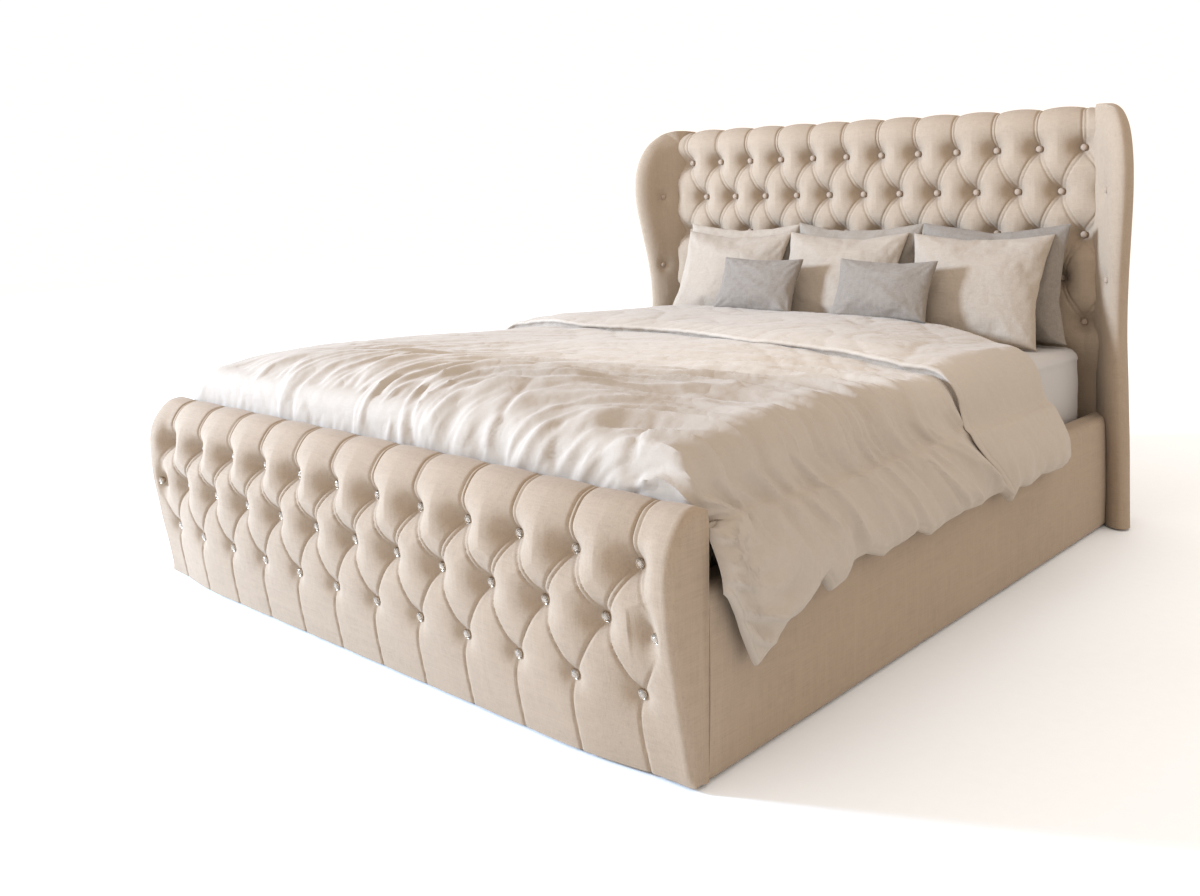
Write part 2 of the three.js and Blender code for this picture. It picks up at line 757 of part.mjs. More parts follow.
const linkFoot = [yOf(linkPivotU), linkPivotZ];
const gasFoot = [yOf(gasPivotU), gasPivotZ];
const fromPivot = ([y, z], angle, distance) => [
  y + distance * Math.cos(angle), z + distance * Math.sin(angle),
];
const armEnd = fromPivot(armFoot, armRestAngle, armLength);
const linkEnd = fromPivot(linkFoot, linkRestAngle, linkLength);
const gasTop = fromPivot(gasFoot, gasRestAngle, gasClosedLength);
const linkStud = [armEnd[0] - linkStudBack, armEnd[1] - linkStudDrop];
const gasStud = [armEnd[0] + gasStudAhead, armEnd[1] - gasStudDrop];

// Fixed plate on the rail, with a boss and a stud for each of the three pivots.
const plateSteel = 4;
const plateX = railInnerX - fitGap;
const plateMargins = {
  footEdge: 34, footTop: 26, footDrop: 60, gasFoot: 60, gasDrop: 45, gasHead: 40, gasTop: 22,
  armHead: 46,
};
const bossRadius = 11;
const linkBossRadius = 13;
const armBossGap = 4;
const gasBossGap = 14;
const gasEyeWidth = 8;
const gasStudProud = 6;
function hingePlate(sx) {
  const margin = plateMargins;
  const shape = polygon([
    [linkFoot[0] - margin.footEdge, linkFoot[1] + margin.footTop],
    [linkFoot[0] - margin.footEdge, linkFoot[1] - margin.footDrop],
    [gasFoot[0] - margin.gasFoot, gasFoot[1] - margin.gasDrop],
    [gasFoot[0] + margin.gasHead, gasFoot[1] - margin.gasDrop],
    [gasFoot[0] + margin.gasHead, gasFoot[1] + margin.gasTop],
    [armFoot[0] + margin.armHead, armFoot[1] + margin.gasTop],
  ]);
  const pivots = [
    [armFoot, armPlane + barThickness + armBossGap, armPlane - studProud, bossRadius],
    [linkFoot, linkPlane + barThickness + fitGap + fitGap, linkPlane - studProud, linkBossRadius],
    [gasFoot, gasPlane + gasBossGap, gasPlane - gasStudProud, bossRadius],
  ];
  const bosses = pivots.flatMap(([centre, bossX, tipX, radius]) => [
    pinX(sx(plateX - plateSteel * half), sx(bossX), ...centre, radius),
    pinX(sx(bossX + studProud), sx(tipX), ...centre, studRadius),
  ]);
  return fuse([plateYZ(shape, sx(plateX - plateSteel), sx(plateX)), ...bosses]);
}

function liftArm(sx) {
  const shape = roundedBar([armFoot, armEnd], armHalfWidth);
  circleHole(shape, armFoot, studRadius + pivotClearance);
  circleHole(shape, armEnd, studRadius + pivotClearance);
  return plateYZ(shape, sx(armPlane), sx(armPlane + barThickness));
}

// The rear link bows upwards, so that it passes over the arm's pivot.
const linkBowShares = [[0.11, 0.087], [0.284, 0.152], [0.549, 0.171]];
function rearLink(sx) {
  const bow = linkBowShares.map(([alongShare, riseShare]) => [
    linkFoot[0] + linkLength * alongShare, linkFoot[1] + linkLength * riseShare,
  ]);
  const shape = roundedBar([linkFoot, ...bow, linkEnd], linkHalfWidth);
  circleHole(shape, linkFoot, studRadius + pivotClearance);
  circleHole(shape, linkEnd, linkEyeRadius);
  return plateYZ(shape, sx(linkPlane), sx(linkPlane + barThickness));
}

// Gas spring: a closed tube with an eye, and a rod with a piston that slides in it.
const gasTubeRadius = 11;
const gasTubeWall = 1.6;
const gasTubeStart = 16;
const gasTubeEnd = 190;
const gasCapDepth = 8;
const gasCapTaper = 3;
const gasNeckRadius = 5;
const gasNeckStart = 9.5;
const gasNeckTrim = 9;
const gasRodRadius = 4;
const gasRodTrim = 12;
const pistonRadius = 8.6;
const pistonStart = 44;
const pistonThickness = 6;
const lowerEyeRadius = 12;
const upperEyeRadius = 15;
const eyeSideCount = 24;
function alongGas(sx, profile, sideCount = 16) {
  const geometry = new THREE.LatheGeometry(
    profile.map(([r, s]) => new THREE.Vector2(r, s)), sideCount,
  );
  geometry.rotateX(gasRestAngle);
  geometry.translate(sx(gasPlane), ...gasFoot);
  return geometry;
}
function gasEye(sx, centre, radius, bore) {
  const shape = polygon(ringPoints(centre, radius, eyeSideCount));
  circleHole(shape, centre, bore);
  const middle = sx(gasPlane);
  return plateYZ(shape, middle - gasEyeWidth * half, middle + gasEyeWidth * half);
}
function gasCylinder(sx) {
  const bore = gasTubeRadius - gasTubeWall;
  const mouth = gasRodRadius + pivotClearance;
  const capStart = gasTubeEnd - gasCapDepth;
  const floor = gasTubeStart + gasCapDepth;
  const tube = alongGas(sx, [
    [0, gasTubeStart], [gasTubeRadius, gasTubeStart], [gasTubeRadius, gasTubeEnd - gasCapDepth],
    [gasTubeRadius - gasCapTaper, gasTubeEnd], [mouth, gasTubeEnd], [mouth, capStart],
    [bore, capStart - gasTubeWall], [bore, floor], [0, floor],
  ]);
  const neckEnd = gasTubeStart + gasTubeWall;
  const neck = alongGas(sx, [
    [0, gasNeckStart], [gasNeckRadius, gasNeckStart], [gasNeckRadius, neckEnd], [0, neckEnd],
  ], 12);
  const middle = sx(gasPlane);
  const trim = pinX(middle - lowerEyeRadius, middle + lowerEyeRadius, ...gasFoot, gasNeckTrim, 16);
  const eye = gasEye(sx, gasFoot, lowerEyeRadius, studRadius + pivotClearance);
  return fuse([tube, cut(neck, [trim]), eye]);
}
function gasRod(sx) {
  const rodEnd = gasClosedLength - gasRodTrim;
  const pistonEnd = pistonStart + pistonThickness;
  const rod = alongGas(sx, [
    [0, pistonStart], [pistonRadius, pistonStart], [pistonRadius, pistonEnd],
    [gasRodRadius, pistonEnd], [gasRodRadius, rodEnd], [0, rodEnd],
  ], 12);
  return fuse([rod, gasEye(sx, gasTop, upperEyeRadius, gasEyeRadius)]);
}

// Bracket inside the platform's side tube, with the studs that the arm, link and rod turn on.
const platePlane = frameHalfWidth - frameTubeWidth - fitGap;
const platformSteel = 3;
const tubeLap = 4;
const platformMargins = {
  footEdge: 26, footDrop: 10, linkDrop: 16, linkFoot: 8, linkHead: 20, slope: 14, gasFoot: 30,
  gasDrop: 13, gasHead: 14, headEdge: 24,
};
const linkStudProud = 1.5;
function platformBracket(sx) {
  const margin = platformMargins;
  const shape = polygon([
    [linkStud[0] - margin.footEdge, frameTop - tubeLap],
    [linkStud[0] - margin.footEdge, linkStud[1] - margin.footDrop],
    [linkStud[0] - margin.linkFoot, linkStud[1] - margin.linkDrop],
    [linkStud[0] + margin.linkHead, linkStud[1] - margin.slope],
    [gasStud[0] - margin.gasFoot, gasStud[1] - margin.gasDrop],
    [gasStud[0] + margin.gasHead, gasStud[1] - margin.gasDrop],
    [gasStud[0] + margin.headEdge, gasStud[1]], [gasStud[0] + margin.headEdge, frameTop - tubeLap],
  ]);
  const studs = [
    [armEnd, armPlane - studProud], [linkStud, linkPlane - linkStudProud],
    [gasStud, gasPlane - gasStudProud],
  ].map(([centre, tipX]) => pinX(sx(platePlane - platformSteel * half), sx(tipX), ...centre, studRadius));
  return fuse([plateYZ(shape, sx(platePlane), sx(platePlane - platformSteel)), ...studs]);
}

for (const side of bothSides) {
  const label = side < 0 ? 'left' : 'right';
  const sx = (x) => side * x;
  add(`hinge_plate_${label}`, hingePlate(sx), colours.steel, 0.8, 0.4);
  add(`lift_arm_${label}`, liftArm(sx), colours.steel, 0.8, 0.35);
  add(`rear_link_${label}`, rearLink(sx), colours.steel, 0.8, 0.35);
  add(`gas_cylinder_${label}`, gasCylinder(sx), colours.plastic, 0.6, 0.35);
  add(`gas_rod_${label}`, gasRod(sx), colours.rod, 0.9, 0.2);
  add(`platform_bracket_${label}`, platformBracket(sx), colours.steel, 0.8, 0.4);
}

// Platform frame of rectangular steel tubes.
function tubeAlong(axis, low, high) {
  const outer = box(low, high);
  const innerLow = low.map((value, n) => (n === axis ? value - overrun : value + tubeWall));
  const innerHigh = high.map((value, n) => (n === axis ? value + overrun : value - tubeWall));
  return cut(outer, [box(innerLow, innerHigh)]);
}
const frameHeadY = yOf(frameHeadGap);
const frameFootY = footBackY + frameFootGap;
const sideInner = frameHalfWidth - frameTubeWidth;
const crossShare = 0.39;
const frameSpan = frameHeadY - frameFootY;
const crossY = frameHeadY - frameSpan * crossShare;
for (const side of bothSides) {
  const label = side < 0 ? 'left' : 'right';
  const [lowX, highX] = spanX(side, frameHalfWidth, sideInner);
  const tube = tubeAlong(1, [lowX, frameFootY, frameBottom], [highX, frameHeadY, frameTop]);
  add(`frame_side_${label}`, tube, colours.steel, 0.7, 0.45);
}
const crossPlaces = [
  ['frame_head', frameHeadY - frameTubeWidth], ['frame_cross', crossY], ['frame_foot', frameFootY],
];
for (const [name, y] of crossPlaces) {
  const tube = tubeAlong(
    0, [fitGap - sideInner, y, frameBottom], [sideInner - fitGap, y + frameTubeWidth, frameTop],
  );
  add(name, tube, colours.steel, 0.7, 0.45);
}
const spinePieces = [
  ['frame_spine_head', crossY + frameTubeWidth, frameHeadY - frameTubeWidth],
  ['frame_spine_foot', frameFootY + frameTubeWidth, crossY],
];
for (const [name, low, high] of spinePieces) {
  const tube = tubeAlong(
    1, [-frameTubeWidth * half, low + fitGap, frameBottom],
    [frameTubeWidth * half, high - fitGap, frameTop],
  );
  add(name, tube, colours.steel, 0.7, 0.45);
}

// Slats joined by edge runners, one wooden grid that lies on the tubes.
const slatCount = 15;
const slatWidth = 68;
const slatEndGap = 4;
const slatSideGap = 6;
const runnerWidth = 24;
const runnerSink = 3;
const slatLow = frameTop + fitGap;
const slatHigh = slatLow + slatThickness;
const slatHalfWidth = frameHalfWidth - slatSideGap;
const slatFirst = frameFootY + slatEndGap;
const slatRun = frameHeadY - slatEndGap - slatWidth - slatFirst;
const slatPieces = Array.from({ length: slatCount }, (unused, n) => {
  const y = slatFirst + slatRun * n / (slatCount - 1);
  return box([-slatHalfWidth, y, slatLow + runnerSink], [slatHalfWidth, y + slatWidth, slatHigh]);
});
const runnerX = slatHalfWidth - runnerWidth * half;
for (const x of [-runnerX, 0, runnerX]) {
  slatPieces.push(box(
    [x - runnerWidth * half, slatFirst + fitGap, slatLow],
    [x + runnerWidth * half, frameHeadY - slatEndGap - fitGap, slatHigh - runnerSink],
  ));
}
add('slat_base', fuse(slatPieces), colours.timber);

// Webbing loop at the foot end for lifting the platform by hand.
const strapReach = 70;
const strapDrop = 22;
const strapWidth = 24;
const strapThickness = 3;
const strapStandOff = 8;
const strapTop = frameTop - strapWidth * half;
const strapShares = [[-1, 0.24, 0], [-0.57, 0.88, 0.64], [0, 1, 1], [0.57, 0.88, 0.64], [1, 0.24, 0]];
const strapPath = new THREE.CatmullRomCurve3(strapShares.map(([acrossShare, outShare, dropShare]) => (
  new THREE.Vector3(
    strapReach * acrossShare, frameFootY - strapStandOff * outShare, strapTop - strapDrop * dropShare,
  ))));
const strapSection = [[-1, -1], [1, -1], [1, 1], [-1, 1]].map(([a, b]) => (
  new THREE.Vector2(a * strapThickness * half, b * strapWidth * half)));
add('lift_strap', new THREE.ExtrudeGeometry(new THREE.Shape(strapSection), {
  steps: 10, bevelEnabled: false, extrudePath: strapPath,
}), colours.strap);

// Mattress: a softly crowned block with drawn-in sides. Each level: height, inset, side draw.
const blockLevelShares = [
  [0, 0.55, 0], [0.06, 0.12, 0.2], [0.5, 0, 1], [0.9, 0.12, 0.2], [0.97, 0.5, 0],
];
const blockCrownInsetShare = 1.6;
function blockOutline(columns, rows) {
  const outline = [];
  for (let n = 0; n <= columns; n += 1) outline.push([n / columns, 0]);
  for (let n = 1; n <= rows; n += 1) outline.push([1, n / rows]);
  for (let n = columns - 1; n >= 0; n -= 1) outline.push([n / columns, 1]);
  for (let n = rows - 1; n > 0; n -= 1) outline.push([0, n / rows]);
  return outline;
}
function softBlock(low, high, columns, rows) {
  const ring = (pull, z) => blockOutline(columns, rows).map(([a, b]) => [
    low[0] + pull + (high[0] - low[0] - pull - pull) * a,
    low[1] + pull + (high[1] - low[1] - pull - pull) * b, z,
  ]);
  const rings = blockLevelShares.map(([heightShare, insetShare, drawShare]) => ring(
    mattressEdgeRadius * insetShare + mattressSideDraw * drawShare,
    low[2] + (high[2] - low[2] - mattressCrown) * heightShare,
  ));
  rings.push(ring(mattressEdgeRadius * blockCrownInsetShare, high[2] - mattressCrown * half));
  const body = loft(rings);
  const position = body.attributes.position;
  position.setZ(position.count - 1, high[2]);
  body.computeVertexNormals();
  return body;
}
add('mattress', softBlock(
  [-mattressWidth * half, yOf(mattressHeadGap + mattressLength), slatTop],
  [mattressWidth * half, yOf(mattressHeadGap), mattressTop], 6, 8,
), colours.sheet);

// Duvet: lies over the mattress, hangs outside both rails, folded back in a band near the head.
// Each row: share of the length, layers of thickness, height of the hem as a share of the rail's.
const duvetFootY = yOf(mattressHeadGap + mattressLength) - duvetFootOverlap;
const duvetLength = yOf(duvetHeadU) - duvetFootY;
const restZ = mattressTop + duvetSheetGap;
const mattressHalf = mattressWidth * half;
const hangInnerX = railOuterX + railCrown + duvetRailGap;
const duvetRowShares = [
  [0, 0, 0.565], [0.012, 0.25, 0.597], [0.03, 1, 0.714], [0.09, 1, 0.813], [0.17, 1, 0.762],
  [0.26, 1, 0.737], [0.35, 1, 0.781], [0.44, 1, 0.8], [0.53, 1, 0.784], [0.62, 1, 0.794],
  [0.658, 1, 0.81], [0.675, 2, 0.794], [0.76, 2, 0.775], [0.86, 2, 0.79], [0.955, 2, 0.781],
  [0.985, 1.7, 0.794], [1, 1.6, 0.813],
];
const duvetSideShares = [
  ['hem', 0], ['hang', 0.4], ['hang', 0.8], ['shoulder', 0.35], ['shoulder', 0.75], ['edge', 0],
];
const duvetTopShares = [-0.86, -0.62, -0.37, -0.12, 0.12, 0.37, 0.62, 0.86];
const duvetAcross = [
  ...duvetSideShares.map(([kind, share]) => ({ kind, side: -1, share })),
  ...duvetTopShares.map((share) => ({ kind: 'top', side: Math.sign(share), share: Math.abs(share) })),
  ...duvetSideShares.map(([kind, share]) => ({ kind, side: 1, share })).reverse(),
];
const lastDuvetRow = duvetRowShares.length - 1;
const duvetLift = 4;
const duvetTuck = 26;
const duvetTuckLow = 452;

// Across the bed: the hanging part, the slope over the rail and mattress edge, and the top.
function duvetSection(column, runShare, hem, thick, sideThick, rim, outer, index) {
  const { kind, side, share } = column;
  const shoulderZ = railHeight + duvetShoulderRise;
  const hemThickShare = 0.55;
  const slopeThickShare = 0.86;
  const edgeThickShare = 0.82;
  if (kind === 'hem' || kind === 'hang') {
    const z = hem + (shoulderZ - hem) * share;
    if (!outer) return [hangInnerX, z];
    const fold = duvetFold * Math.sin(runShare * 40 + side) * (1 - share) + duvetLift;
    const thickShare = kind === 'hem' ? hemThickShare : 1;
    const x = hangInnerX + sideThick * thickShare * rim + Math.max(0, fold);
    return [x, kind === 'hem' ? z + duvetLift : z];
  }
  if (kind === 'shoulder') {
    const x = hangInnerX + (mattressHalf + duvetLift - hangInnerX) * share;
    const z = shoulderZ + (restZ - duvetLift - shoulderZ) * share + duvetLift * half;
    if (!outer) return [x, z];
    return [x + sideThick * slopeThickShare * rim, z + (duvetLift * 3 + duvetLift * 2 * share) * rim];
  }
  if (kind === 'edge') {
    if (!outer) return [mattressHalf - duvetLift - duvetLift, restZ];
    return [mattressHalf + duvetLift, restZ + thick * edgeThickShare * rim];
  }
  const wave = duvetLongWave * Math.sin(runShare * 17 + index * 2.1)
    + duvetShortWave * Math.sin(runShare * 31 + index);
  const calmShare = thick > duvetThickness ? 0.3 : 1;
  return [mattressHalf * share, outer ? restZ + (thick + wave * calmShare) * rim : restZ];
}

function duvetPoint(i, j, outer) {
  const column = duvetAcross[i];
  const [runShare, layers, hemShare] = duvetRowShares[j];
  const extra = Math.max(0, layers - 1);
  const rimShare = 0.5;
  const rim = j === 0 || j === lastDuvetRow ? rimShare : 1;
  const thick = duvetThickness + extra * duvetBand;
  const sideThick = duvetSideThickness * (1 + extra * half);
  const [x, z] = duvetSection(column, runShare, railHeight * hemShare, thick, sideThick, rim, outer, i);
  const y = duvetFootY + duvetLength * runShare;
  if (j > 1) return [column.side * x, y, z];
  const onTop = column.kind === 'top' || column.kind === 'edge';
  if (!onTop) return [column.side * x, j === 0 ? y + duvetThickness : y + duvetLift * 2, z];
  if (j === 0) return [column.side * x, outer ? y + fitGap : y + duvetTuck, duvetTuckLow];
  return [column.side * x, outer ? y - duvetSideThickness : y + duvetLift, outer ? z - duvetLift * 2 : z];
}
add('duvet', sandwich(
  duvetAcross.length - 1, lastDuvetRow,
  (i, j) => duvetPoint(i, j, true), (i, j) => duvetPoint(i, j, false),
), colours.duvet);

// Pillows and cushions: full in the middle, drawn in along the sides, pointed at the corners.
const pillowSeam = 3;
function pillow(width, height, depth, columns = 8, rows = 6) {
  const drawXShare = 0.06;
  const drawZShare = 0.07;
  const spot = (i, j, side) => {
    const a = (i / columns) / half - 1;
    const b = (j / rows) / half - 1;
    const fill = Math.sqrt((1 - a ** 4) * (1 - b ** 4));
    const drawX = 1 - drawXShare * (1 - b ** 2);
    const drawZ = 1 - drawZShare * (1 - a ** 2);
    return [
      a * width * half * drawX, side * (depth * half * fill + pillowSeam), b * height * half * drawZ,
    ];
  };
  return sandwich(columns, rows, (i, j) => spot(i, j, -1), (i, j) => spot(i, j, 1));
}
function standPillow(name, colour, size, x, u, lean, baseZ) {
  const body = pillow(...size);
  body.rotateX(-lean);
  body.computeBoundingBox();
  body.translate(x, yOf(u), baseZ - body.boundingBox.min.z);
  add(name, body, colour);
}
const sheetGap = 0.15;
const pillowLift = mattressTop + sheetGap;
const backPillowShare = 0.3013;
const backPillow = { height: 352, depth: 84, u: 82, lean: 0.13 };
const frontPillowShare = 0.2873;
const frontPillow = { height: 330, depth: 80, u: 182, lean: 0.17 };
const pillowRows = [
  ['back_left', -0.2827, colours.cream, backPillowShare, backPillow],
  ['back_middle', 0.0247, colours.darkCream, backPillowShare, backPillow],
  ['back_right', 0.332, colours.grey, backPillowShare, backPillow],
  ['front_left', -0.2847, colours.cream, frontPillowShare, frontPillow],
  ['front_middle', 0.0053, colours.cream, frontPillowShare, frontPillow],
  ['front_right', 0.312, colours.cream, frontPillowShare, frontPillow],
];
for (const [place, acrossShare, colour, widthShare, row] of pillowRows) {
  const size = [mattressWidth * widthShare, row.height, row.depth];
  standPillow(`pillow_${place}`, colour, size, mattressWidth * acrossShare, row.u, row.lean, pillowLift);
}
const cushionSink = 4.8;
const cushionDepth = 66;
const cushionU = 306;
const cushionLean = 0.24;
const cushionLift = restZ + duvetThickness + duvetBand - cushionSink;
const cushions = [['left', -0.1433, 0.2, 176], ['right', 0.16, 0.212, 182]];
for (const [place, acrossShare, widthShare, height] of cushions) {
  const size = [mattressWidth * widthShare, height, cushionDepth];
  standPillow(
    `cushion_${place}`, colours.grey, size, mattressWidth * acrossShare, cushionU, cushionLean, cushionLift,
  );
}

export default group;
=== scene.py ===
"""Upholstered ottoman bed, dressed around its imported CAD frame. Metres, +Y to the headboard."""

import math

import bmesh
import bpy
import numpy as np
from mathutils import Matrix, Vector


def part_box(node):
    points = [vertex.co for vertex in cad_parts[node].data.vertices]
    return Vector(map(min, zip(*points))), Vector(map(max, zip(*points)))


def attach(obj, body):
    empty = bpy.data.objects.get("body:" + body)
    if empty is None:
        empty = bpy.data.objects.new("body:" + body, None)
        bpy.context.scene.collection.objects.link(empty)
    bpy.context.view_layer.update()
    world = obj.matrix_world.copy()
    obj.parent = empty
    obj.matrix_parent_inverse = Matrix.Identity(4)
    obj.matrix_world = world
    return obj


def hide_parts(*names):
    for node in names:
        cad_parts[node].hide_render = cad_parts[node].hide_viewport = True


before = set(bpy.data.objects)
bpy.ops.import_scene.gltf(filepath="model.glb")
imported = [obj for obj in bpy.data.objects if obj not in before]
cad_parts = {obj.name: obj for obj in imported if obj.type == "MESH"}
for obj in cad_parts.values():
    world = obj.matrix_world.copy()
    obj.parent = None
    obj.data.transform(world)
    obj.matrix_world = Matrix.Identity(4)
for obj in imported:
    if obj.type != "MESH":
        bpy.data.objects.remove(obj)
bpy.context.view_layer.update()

# Places that the whole scene shares, read from the frame.
MM = 0.001
pad_low, pad_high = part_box("headboard_pad")
foot_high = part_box("footboard_pad")[1]
end_low, end_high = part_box("footboard_end_right")
rail_low, rail_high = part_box("side_rail_right")
panel_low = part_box("headboard_back_panel")[0]
mattress_low, mattress_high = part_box("mattress")
duvet_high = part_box("duvet")[1]

HEAD_PUFF = 45 * MM
BUTTON_PLANE = pad_low.y + HEAD_PUFF
HEAD_HALF = pad_high.x
HEAD_TOP = pad_high.z
HEAD_BACK = panel_low.y
HEAD_REAR = HEAD_BACK - 0.6 * MM
FLOOR_GAP = pad_low.z
PITCH = 4 * HEAD_HALF / 23
ROW_PITCH = 131.5 * MM
LOW_ROW = 582 * MM
HEAD_ROWS = 5
HEAD_CENTRES = [LOW_ROW + row * ROW_PITCH for row in range(HEAD_ROWS)]
RAIL_IN = rail_low.x
RAIL_OUT = RAIL_IN + 60 * MM
RAIL_TOP = rail_high.z
FOOT_BACK = foot_high.y
FOOT_BULGE = 75 * MM
FOOT_HALF = end_high.x
FOOT_TOP = end_high.z
END_THICK = end_high.x - end_low.x
REST = mattress_high.z


def smoothstep(value, low, high):
    """0 up to low, 1 from high on, and a soft step between them."""
    share = np.clip((value - low) / (high - low), 0, 1)
    return share * share * (3 - 2 * share)


def bell(value, width):
    return np.exp(-((value / width) ** 2))


def off_whole(value):
    """Distance to the nearest whole number."""
    return np.abs(value - np.round(value))


def curve(points, count):
    """Evenly spaced points on a smooth curve through the given ones."""
    points = np.asarray(points, float)
    before = 2 * points[0] - points[1]
    after = 2 * points[-1] - points[-2]
    p = np.vstack([before, points, after])
    fine = []
    for k in range(1, len(p) - 2):
        t = np.linspace(0, 1, 24, endpoint=False)[:, None]
        a, b, c, d = p[k - 1 : k + 3]
        square, cube = 2 * a - 5 * b + 4 * c - d, 3 * b - a - 3 * c + d
        fine.append(0.5 * (2 * b + (c - a) * t + square * t**2 + cube * t**3))
    fine = np.vstack(fine + [points[-1:]])
    run = np.concatenate([[0], np.cumsum(np.linalg.norm(np.diff(fine, axis=0), axis=1))])
    places = np.linspace(0, run[-1], count)
    return np.stack([np.interp(places, run, fine[:, k]) for k in range(fine.shape[1])], axis=1)


def noise(x, y, seed):
    """Smooth gradient noise on a plane, about -1 to 1, the same at every run."""
    x, y = np.broadcast_arrays(np.asarray(x, float), np.asarray(y, float))
    x0, y0 = np.floor(x).astype(np.int64), np.floor(y).astype(np.int64)
    fx, fy = x - x0, y - y0
    sx = fx**3 * (fx * (fx * 6 - 15) + 10)
    sy = fy**3 * (fy * (fy * 6 - 15) + 10)

    def corner(i, j):
        n = ((x0 + i) * 374761393 + (y0 + j) * 668265263 + seed * 974634777) & 0x7FFFFFFF
        n = ((n ^ (n >> 13)) * 1274126177) & 0x7FFFFFFF
        angle = ((n ^ (n >> 16)) & 0xFFFF) / 65536.0 * 2 * math.pi
        return np.cos(angle) * (fx - i) + np.sin(angle) * (fy - j)

    low = corner(0, 0) * (1 - sx) + corner(1, 0) * sx
    high = corner(0, 1) * (1 - sx) + corner(1, 1) * sx
    return (low * (1 - sy) + high * sy) * 1.5


# Mesh building.
def spots(x, y, z):
    """Points from three coordinates, each an array or one number."""
    return np.stack(np.broadcast_arrays(x, y, z), axis=-1)


def make(name, points, faces, material, body=None, slot=None, replaces=(), fill=None):
    mesh = bpy.data.meshes.new(name)
    mesh.from_pydata(np.asarray(points, float).tolist(), [], faces)
    mesh.update()
    form = bmesh.new()
    form.from_mesh(mesh)
    if form.calc_volume(signed=True) < 0:
        mesh.flip_normals()
    form.free()
    mesh.polygons.foreach_set("use_smooth", [True] * len(mesh.polygons))
    mesh.set_sharp_from_angle(angle=math.radians(52))
    piece = bpy.data.objects.new(name, mesh)
    bpy.context.scene.collection.objects.link(piece)
    mesh.materials.append(material)
    if body:
        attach(piece, body)
    if replaces:
        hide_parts(*replaces)
    return piece


def ring_faces(count, around, start=0, closed=True):
    ids = start + np.arange(count * around).reshape(count, around)
    if closed:
        across = np.roll(ids, -1, axis=1)
        quads = np.stack([ids[:-1], across[:-1], across[1:], ids[1:]], axis=-1)
    else:
        quads = np.stack([ids[:-1, :-1], ids[:-1, 1:], ids[1:, 1:], ids[1:, :-1]], axis=-1)
    return quads.reshape(-1, 4).tolist()


def loft(rings, fans=True):
    """Closed skin through rings of equal count, capped with fans or with one flat face."""
    rings = np.asarray(rings, float)
    count, around = rings.shape[:2]
    points = rings.reshape(-1, 3)
    faces = ring_faces(count, around)
    last, hub = (count - 1) * around, count * around
    if not fans:
        faces.append(list(range(around))[::-1])
        faces.append([last + n for n in range(around)])
        return points, faces
    points = np.vstack([points, rings[0].mean(axis=0), rings[-1].mean(axis=0)])
    following = [(n + 1) % around for n in range(around)]
    faces += [[hub, b, a] for a, b in enumerate(following)]
    faces += [[hub + 1, last + a, last + b] for a, b in enumerate(following)]
    return points, faces


def join(parts):
    points, faces, total = [], [], 0
    for part_points, part_faces in parts:
        points.append(part_points)
        faces += [[n + total for n in face] for face in part_faces]
        total += len(part_points)
    return np.vstack(points), faces


def revolve(profile, around=24):
    """Closed turned form about Z from (radius, height) pairs that start and end on the axis."""
    inner = [pair for pair in profile if pair[0] > 0]
    angle = np.arange(around) * 2 * math.pi / around
    rings = [spots(r * np.cos(angle), r * np.sin(angle), h) for r, h in inner]
    points, faces = loft(rings)
    points[-2], points[-1] = (0, 0, profile[0][1]), (0, 0, profile[-1][1])
    return points, faces


def turned(points, axis, place):
    """Turns a form that points up Z so that it points along axis, and sets it down at place."""
    rotation = Vector((0, 0, 1)).rotation_difference(Vector(axis)).to_matrix()
    return points @ np.array(rotation).T + np.asarray(place)


# Materials. Their grain and tone follow the place on the object.
def new_material(name):
    material = bpy.data.materials.new(name)
    material.use_nodes = True
    tree = material.node_tree
    return material, tree, tree.nodes["Principled BSDF"]


def set_sockets(node, values):
    for socket, value in values.items():
        node.inputs[socket].default_value = value


def object_noise(tree, scale, detail=2.0):
    place = tree.nodes.new("ShaderNodeTexCoord")
    stretch = tree.nodes.new("ShaderNodeMapping")
    set_sockets(stretch, {"Scale": scale})
    tree.links.new(place.outputs["Object"], stretch.inputs["Vector"])
    clouds = tree.nodes.new("ShaderNodeTexNoise")
    set_sockets(clouds, {"Scale": 1.0, "Detail": detail})
    tree.links.new(stretch.outputs["Vector"], clouds.inputs["Vector"])
    return clouds.outputs["Fac"]


def combine(tree, operation, first, second, clamp=False):
    node = tree.nodes.new("ShaderNodeMath")
    node.operation = operation
    node.use_clamp = clamp
    for socket, value in zip(node.inputs, (first, second)):
        if isinstance(value, (int, float)):
            socket.default_value = value
        else:
            tree.links.new(value, socket)
    return node.outputs[0]


def ramp(tree, value, stops):
    node = tree.nodes.new("ShaderNodeValToRGB")
    elements = node.color_ramp.elements
    while len(elements) < len(stops):
        elements.new(0.5)
    for element, (place, colour) in zip(elements, stops):
        element.position = place
        element.color = (*colour, 1)
    tree.links.new(value, node.inputs["Fac"])
    return node.outputs["Color"]


def add_bump(tree, height, strength, distance):
    node = tree.nodes.new("ShaderNodeBump")
    set_sockets(node, {"Strength": strength, "Distance": distance})
    tree.links.new(height, node.inputs["Height"])
    return node


def linear(hex_colour):
    channels = [int(hex_colour[k : k + 2], 16) / 255 for k in (0, 2, 4)]
    return [c / 12.92 if c <= 0.04045 else ((c + 0.055) / 1.055) ** 2.4 for c in channels]


